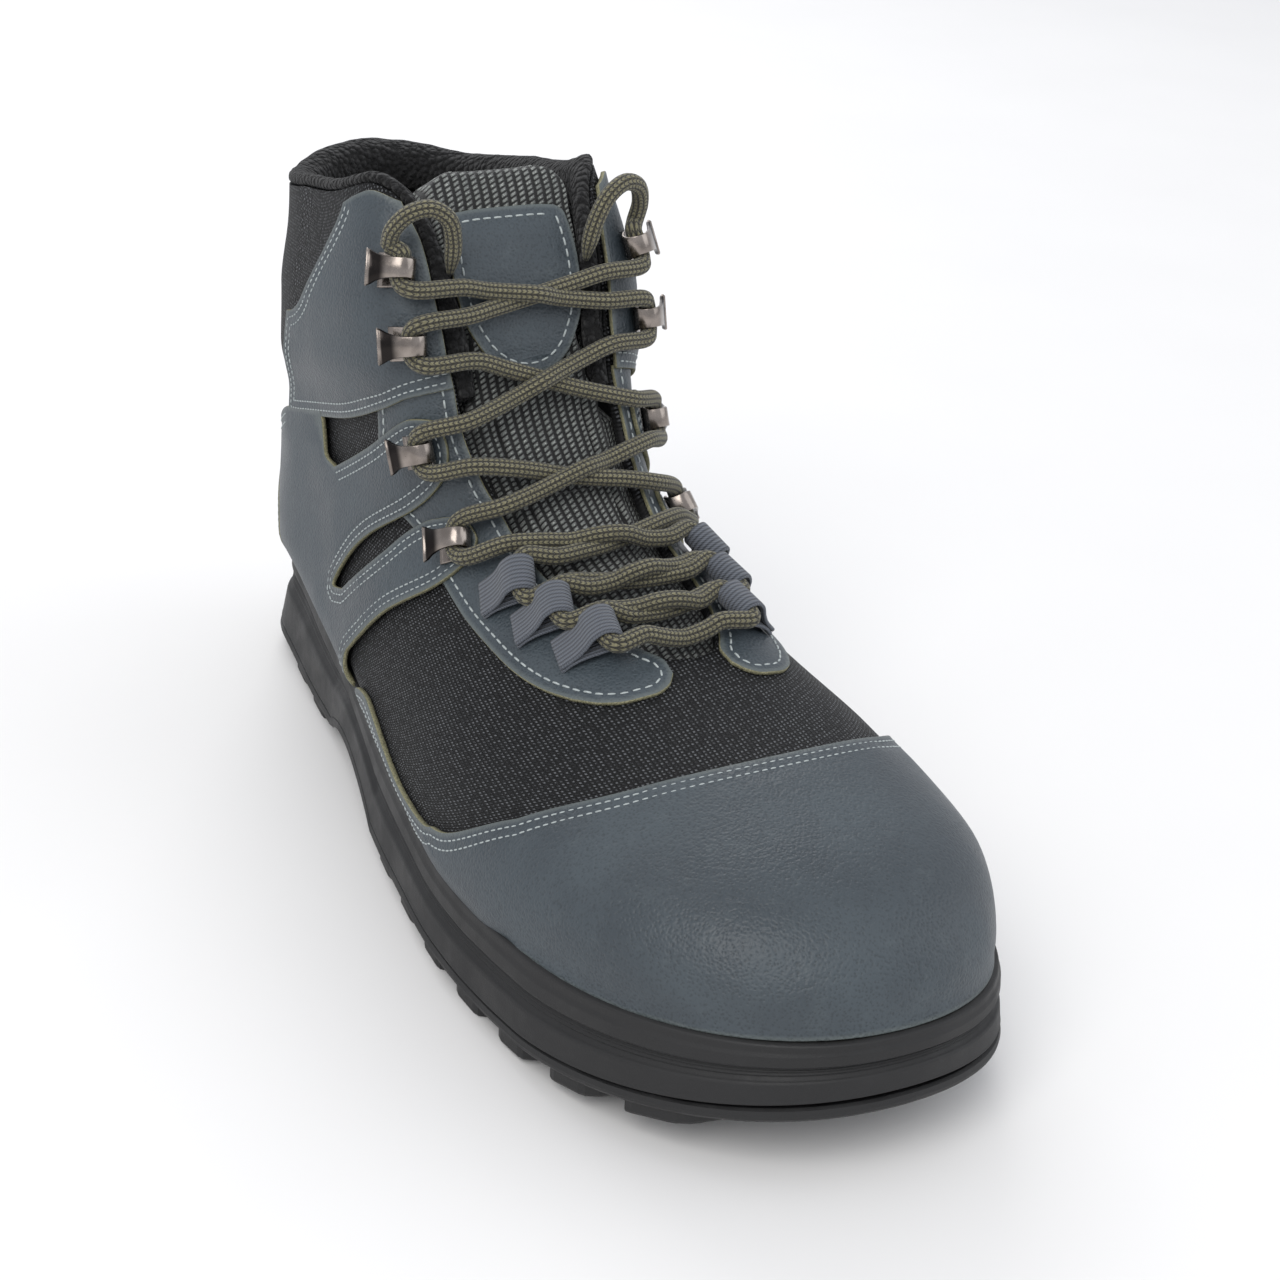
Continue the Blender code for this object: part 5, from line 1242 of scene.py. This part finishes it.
def smooth_route(points, step):
    """A curve through points, by the centripetal Catmull-Rom formula, cut into even steps."""
    padded = np.concatenate([[2 * points[0] - points[1]], points, [2 * points[-1] - points[-2]]])
    gaps = np.sqrt(np.linalg.norm(np.diff(padded, axis=0), axis=1))
    knots = np.concatenate([[0], np.cumsum(gaps)])
    fine = []
    for i in range(1, len(padded) - 2):
        t0, t1, t2, t3 = knots[i - 1:i + 3]
        p0, p1, p2, p3 = padded[i - 1:i + 3]
        t = np.linspace(t1, t2, 12, endpoint=False)[:, None]
        a1 = (t1 - t) / (t1 - t0) * p0 + (t - t0) / (t1 - t0) * p1
        a2 = (t2 - t) / (t2 - t1) * p1 + (t - t1) / (t2 - t1) * p2
        a3 = (t3 - t) / (t3 - t2) * p2 + (t - t2) / (t3 - t2) * p3
        b1 = (t2 - t) / (t2 - t0) * a1 + (t - t0) / (t2 - t0) * a2
        b2 = (t3 - t) / (t3 - t1) * a2 + (t - t1) / (t3 - t1) * a3
        fine.append((t2 - t) / (t2 - t1) * b1 + (t - t1) / (t2 - t1) * b2)
    fine = np.concatenate(fine + [points[-1:]])
    length = np.linalg.norm(np.diff(fine, axis=0), axis=1).sum()
    cut = even_shares(fine, int(length / step) + 2)
    return np.stack([np.interp(cut, np.arange(len(fine)), fine[:, k]) for k in range(3)], axis=1)


def braid_tube(route, radius):
    """A round tube along a route, its rings square to it and never twisting: points, faces, length."""
    tangent = unit(np.gradient(route, axis=0))
    side = np.zeros_like(route)
    side[0] = unit(np.cross(tangent[0], (0.0, 0.0, 1.0)))
    for i in range(1, len(route)):
        side[i] = unit(side[i - 1] - tangent[i] * (side[i - 1] @ tangent[i]))
    up = np.cross(tangent, side)
    run = np.concatenate([[0], np.cumsum(np.linalg.norm(np.diff(route, axis=0), axis=1))])
    angle = 2 * math.pi * np.arange(LACE_SIDES) / LACE_SIDES
    round_ = np.cos(angle)[None, :, None] * side[:, None] + np.sin(angle)[None, :, None] * up[:, None]
    points = route[:, None] + radius * round_
    count = len(route)
    faces = grid_faces(count, LACE_SIDES, True).tolist()
    faces += [list(range(LACE_SIDES)), [(count - 1) * LACE_SIDES + k for k in range(LACE_SIDES)]]
    return points, faces, run


def lace_piece(name, route, replaced, tucked=False):
    """A stretch of lace, its UV in turns and metres; a tucked tip is pinched flat on the tongue."""
    points, faces, run = braid_tube(route, LACE / 2)
    if tucked:
        girth = TUCK_GIRTH + (1 - TUCK_GIRTH) * np.sin(np.clip((run[-1] - run) / TUCK, 0, 1) * math.pi / 2)
        girth, centre = girth[:, None, None], route[:, None]
        points = centre + girth * (points - centre) - (1 - girth) * LACE / 2 * outward(*TUCK_PLACE)
    piece = add_piece(name, points, faces, lace_finish, replaced)
    mesh = piece.data
    layer = mesh.uv_layers.new(name="cloth")
    index = np.zeros(len(mesh.loops), int)
    mesh.loops.foreach_get("vertex_index", index)
    ring, place = index // LACE_SIDES, index % LACE_SIDES
    starts, totals = np.zeros(len(mesh.polygons), int), np.zeros(len(mesh.polygons), int)
    mesh.polygons.foreach_get("loop_start", starts)
    mesh.polygons.foreach_get("loop_total", totals)
    face_of = np.repeat(np.arange(len(starts)), totals)
    wraps = np.maximum.reduceat(place, starts)[face_of] - place > LACE_SIDES / 2
    layer.data.foreach_set("uv", np.stack([(place + wraps * LACE_SIDES) / LACE_SIDES, run[ring]],
                                          axis=1).ravel())
    return piece


LACE_ENDS = {
    "lateral": [(-0.0336, -0.0671, 0.1495), (-0.0334, -0.0694, 0.1540), (-0.0302, -0.0720, 0.1582),
                (-0.0254, -0.0736, 0.1594), (-0.0212, -0.0740, 0.1566), (-0.0195, -0.0731, 0.1512),
                (-0.0193, -0.0722, 0.1464), (-0.0193, -0.0719, 0.1426)],
    "medial": [(0.0332, -0.0655, 0.1492), (0.0336, -0.0672, 0.1546), (0.0312, -0.0698, 0.1596),
               (0.0266, -0.0718, 0.1612), (0.0218, -0.0730, 0.1586), (0.0186, -0.0730, 0.1528),
               (0.0174, -0.0721, 0.1466), (0.0172, -0.0720, 0.1428)],
}
run_outer, side_outer = lace_run(-1)
run_inner, side_inner = lace_run(1)
bottom_row = PAIRS[-1][0]
bar = strand(strand_end(bottom_row, fitting_degrees(-1, side_outer), -1),
             strand_end(bottom_row, fitting_degrees(-1, side_inner), -1), 0.0)
start_outer, start_inner = (np.array(LACE_ENDS[word][:1]) for word in ("lateral", "medial"))
whole = np.concatenate([start_outer, run_outer[1:], bar, run_inner[:0:-1], start_inner])
crossings = [f"lace_crossing_{i}" for i in range(1, 7)]
lace_piece("lace", smooth_route(whole, LACE_STEP), crossings + ["lace_bar"])
for word, points in LACE_ENDS.items():
    route = smooth_route(np.array(points), LACE_STEP)
    end = lace_piece("lace_end_" + word + "_braid", route, ["lace_end_" + word], tucked=True)

# Midsole: black rubber sidewall, drawn round the whole boot, with a ribbed recess between two bands
# and a lip that laps up over the leather.
SOLE_SIDE = 210
SOLE_LEVELS = 72
LUG_HEIGHT = 0.004
TREAD_PLATE = 0.0035
GAP = 0.0003
TREAD_OUTSET = 0.0048
HEEL_FLARE = 0.0035
HEEL_BREAST = 0.27
ARCH_END = 0.46
ARCH_RISE = 0.007
TREAD_FLAT_END = 0.72
TOE_SPRING = 0.013

# Share of the way up the side, and how far it stands out there from the edge of the upper
SIDEWALL = [(0.0, 0.0046), (0.02, 0.0050), (0.08, 0.0048), (0.36, 0.0043), (0.40, 0.0040), (0.43, 0.0030),
            (0.62, 0.0027), (0.65, 0.0036), (0.69, 0.0039), (0.86, 0.0037), (0.93, 0.0032), (0.98, 0.0031),
            (1.03, 0.0030), (1.06, 0.0026), (1.07, 0.0010)]
RECESS = (0.43, 0.62)
RECESS_RIBS = 3
RECESS_RIB = 0.00028

rubber_finish = Finish("black_rubber", roughness=0.6, Coat_Roughness=0.5)
fine = rubber_finish.noise(3200.0, 2.0)
scuff = rubber_finish.noise(55.0, 4.0, 0.65)
rubber = scuff.ramp(0.4, 0.75).blend(srgb(19, 19, 20), srgb(33, 33, 34))
rubber_finish.colour((fine.ramp(0.6, 0.8) * 0.3).blend(rubber, srgb(52, 52, 53)))
rubber_finish.link(scuff.ramp(0.35, 0.7, 0.5, 0.7), "Roughness")
rubber_finish.bump(fine, 0.00008)


def sole_edge(count, ease=5):
    """The line where upper and sole meet, all round from the toe, as world points, gently eased."""
    rows, degrees = whole_grid(count, np.array([0.0]))
    line = surface(rows, degrees)[0]
    return np.mean([np.roll(line, step, axis=0) for step in range(-ease, ease + 1)], axis=0)


def outset(loop, distance):
    """A plan loop moved outwards by a distance, each point along its own normal."""
    run = unit((np.roll(loop, -1, axis=0) - np.roll(loop, 1, axis=0)) * (1, 1, 0))
    normal = np.stack([run[:, 1], -run[:, 0], 0 * run[:, 0]], axis=1)
    outer = np.sign(np.sum(normal * (loop - loop.mean(axis=0)), axis=1).sum())
    return loop + outer * normal * np.reshape(distance, (-1, 1))


def heel_flare(loop):
    """Outset added round the heel, fading to nothing at the arch."""
    along = HEEL_SEAT - loop[:, 1]
    share = np.clip(along / (HEEL_BREAST * LAST_LENGTH), 0, 1)
    return HEEL_FLARE * (1 - share ** 3) ** 1.5


def ground_height(along):
    """Height of the tread's running surface: flat heel, raised arch, flat tread, toe spring."""
    share = np.asarray(along, float) / LAST_LENGTH
    arch = np.clip((share - HEEL_BREAST) / (ARCH_END - HEEL_BREAST), 0.0, 1.0)
    spring = np.clip((share - TREAD_FLAT_END) / (1.0 - TREAD_FLAT_END), 0.0, None)
    return ARCH_RISE * np.sin(math.pi * arch) ** 0.7 + TOE_SPRING * spring ** 1.7


def slab(rings):
    """Points and faces of a closed solid from rings, with strips across its two ends."""
    levels, places, _ = rings.shape
    faces = grid_faces(levels, places, True).tolist()
    half = places // 2
    i = np.arange(1, half - 1)
    for ring in (0, (levels - 1) * places):
        faces += np.stack([ring + i, ring + i + 1, ring + places - i - 1, ring + places - i], axis=1).tolist()
        faces += [[ring, ring + 1, ring + places - 1], [ring + half - 1, ring + half, ring + half + 1]]
    return rings.reshape(-1, 3), faces


edge = sole_edge(SOLE_SIDE)
tread_edge = outset(edge, TREAD_OUTSET + heel_flare(edge))
top = edge[:, 2] - GAP
bottom = ground_height(HEEL_SEAT - tread_edge[:, 1]) + LUG_HEIGHT + TREAD_PLATE
shares = np.linspace(0, SIDEWALL[-1][0], SOLE_LEVELS)
steps = np.interp(shares, *zip(*SIDEWALL))
rib_turn = (shares - RECESS[0]) / (RECESS[1] - RECESS[0]) * RECESS_RIBS * 2 * math.pi
steps += RECESS_RIB * np.cos(rib_turn) * ((shares > RECESS[0]) & (shares < RECESS[1]))
rings = []
for share, distance in zip(shares, steps):
    ring = outset(edge, distance + np.clip(1 - share, 0, 1) * heel_flare(edge))
    ring[:, 2] = bottom + share * (top - bottom)
    rings.append(ring)
points, faces = slab(np.array(rings))
add_piece("sidewall", points, faces, rubber_finish, ["midsole"])

# Outsole: the same rubber, a tread plate with blocks along both edges and raked bars between them,
# each block with softened corners and edges.
LUG_PITCH = 0.0215
LUG_GROOVE = 0.0065
SIDE_LUG = 0.44
CENTRE_LUG = 0.30
CENTRE_TIP = 0.4
LUG_INSET = 0.0008
LUG_RAKE = 0.004
LUG_CORNER = 0.14
CENTRE_LEAST = 0.005
LUG_ZONES = ((0.008, HEEL_BREAST * LAST_LENGTH - 0.006),
             (ARCH_END * LAST_LENGTH + 0.004, 0.965 * LAST_LENGTH))

# Rings from below: outset and rise of the tread plate, then inset and rise of a block
PLATE_RINGS = ((-0.0016, 0.0), (-0.0003, 0.0003), (0.0004, 0.0012), (0.0005, 0.0020), (0.0002, 0.0032),
               (-0.0006, TREAD_PLATE))
LUG_RINGS = ((0.0011, 0.0), (0.0003, 0.0003), (0.0, 0.0010), (0.0, 0.0050))


def sole_half_width(along, side):
    """Distance from the centre line to the tread plate's edge, at places along the foot."""
    half = len(tread_edge) // 2
    chosen = tread_edge[:half + 1] if side < 0 else tread_edge[half:]
    order = np.argsort(HEEL_SEAT - chosen[:, 1])
    return float(np.interp(along, (HEEL_SEAT - chosen[:, 1])[order], np.abs(chosen[order, 0])))


def lug(corners, shells):
    """One block from its plan corners: rounded in plan, its lower edge softened."""
    plan = np.array([(across, HEEL_SEAT - along, 0.0) for along, across in corners])
    for _ in range(2):
        after = np.roll(plan, -1, axis=0)
        plan = np.stack([(1 - LUG_CORNER) * plan + LUG_CORNER * after,
                         LUG_CORNER * plan + (1 - LUG_CORNER) * after], axis=1).reshape(-1, 3)
    count = len(plan)
    rings = []
    for inset, rise in LUG_RINGS:
        ring = outset(plan, np.full(count, -inset))
        ring[:, 2] = ground_height(HEEL_SEAT - plan[:, 1]) + rise
        rings.append(ring)
    base = sum(len(points) for points, _ in shells)
    faces = (grid_faces(len(rings), count, True) + base).tolist()
    faces += [[base + k for k in range(count)], [base + (len(rings) - 1) * count + k for k in range(count)]]
    shells.append((np.concatenate(rings), faces))


low = ground_height(HEEL_SEAT - edge[:, 1]) + LUG_HEIGHT
rings = []
for distance, rise in PLATE_RINGS:
    ring = outset(edge, TREAD_OUTSET + heel_flare(edge) + distance)
    ring[:, 2] = low + rise
    rings.append(ring)
shells = [slab(np.array(rings))]
for start, end in LUG_ZONES:
    count = max(2, round((end - start) / LUG_PITCH))
    pitch = (end - start) / count
    for i in range(count):
        a, b = start + i * pitch, start + (i + 1) * pitch - LUG_GROOVE
        for side in (-1, 1):
            wide_a, wide_b = sole_half_width(a, side), sole_half_width(b, side)
            lug([(a, side * (wide_a - LUG_INSET)), (b, side * (wide_b - LUG_INSET)),
                 (b + LUG_RAKE, side * wide_b * (1 - SIDE_LUG)),
                 (a + LUG_RAKE, side * wide_a * (1 - SIDE_LUG))], shells)
        mid = sole_half_width((a + b) / 2, -1) * CENTRE_LUG
        if mid > CENTRE_LEAST and i < count - 1:
            tip = mid * CENTRE_TIP
            lug([(a, -mid), (a + LUG_RAKE, tip), (a, mid), (b, mid), (b + LUG_RAKE, tip), (b, -mid)], shells)
tread_points = np.concatenate([points for points, _ in shells])
tread_faces = sum((faces for _, faces in shells), [])
add_piece("tread", tread_points, tread_faces, rubber_finish, ["outsole"], smooth=False)

# Insole: a loose foam footbed with a dark textile face, cut to the shape of the last and laid in on
# the sole.
INSOLE_THICKNESS = 0.0035

# Rings from below: inset from the upper's edge, and share of the thickness
BED_RINGS = ((0.0060, 0.0), (0.0050, 0.1), (0.0046, 0.35), (0.0046, 0.6), (0.0050, 0.9), (0.0062, 1.0))

bed_finish = Finish("footbed_textile", roughness=0.9, Sheen_Weight=0.1)
weave = bed_finish.cells(1100.0)
bed_finish.colour(weave.ramp(0.1, 0.7).blend(srgb(44, 46, 48), srgb(22, 23, 24)))
bed_finish.bump(weave, 0.0003)
rings = []
for inset, share in BED_RINGS:
    ring = outset(edge, np.full(len(edge), -inset))
    ring[:, 2] = edge[:, 2] + GAP + share * INSOLE_THICKNESS
    rings.append(ring)
points, faces = slab(np.array(rings))
add_piece("footbed", points, faces, bed_finish, ["insole"], smooth=False)
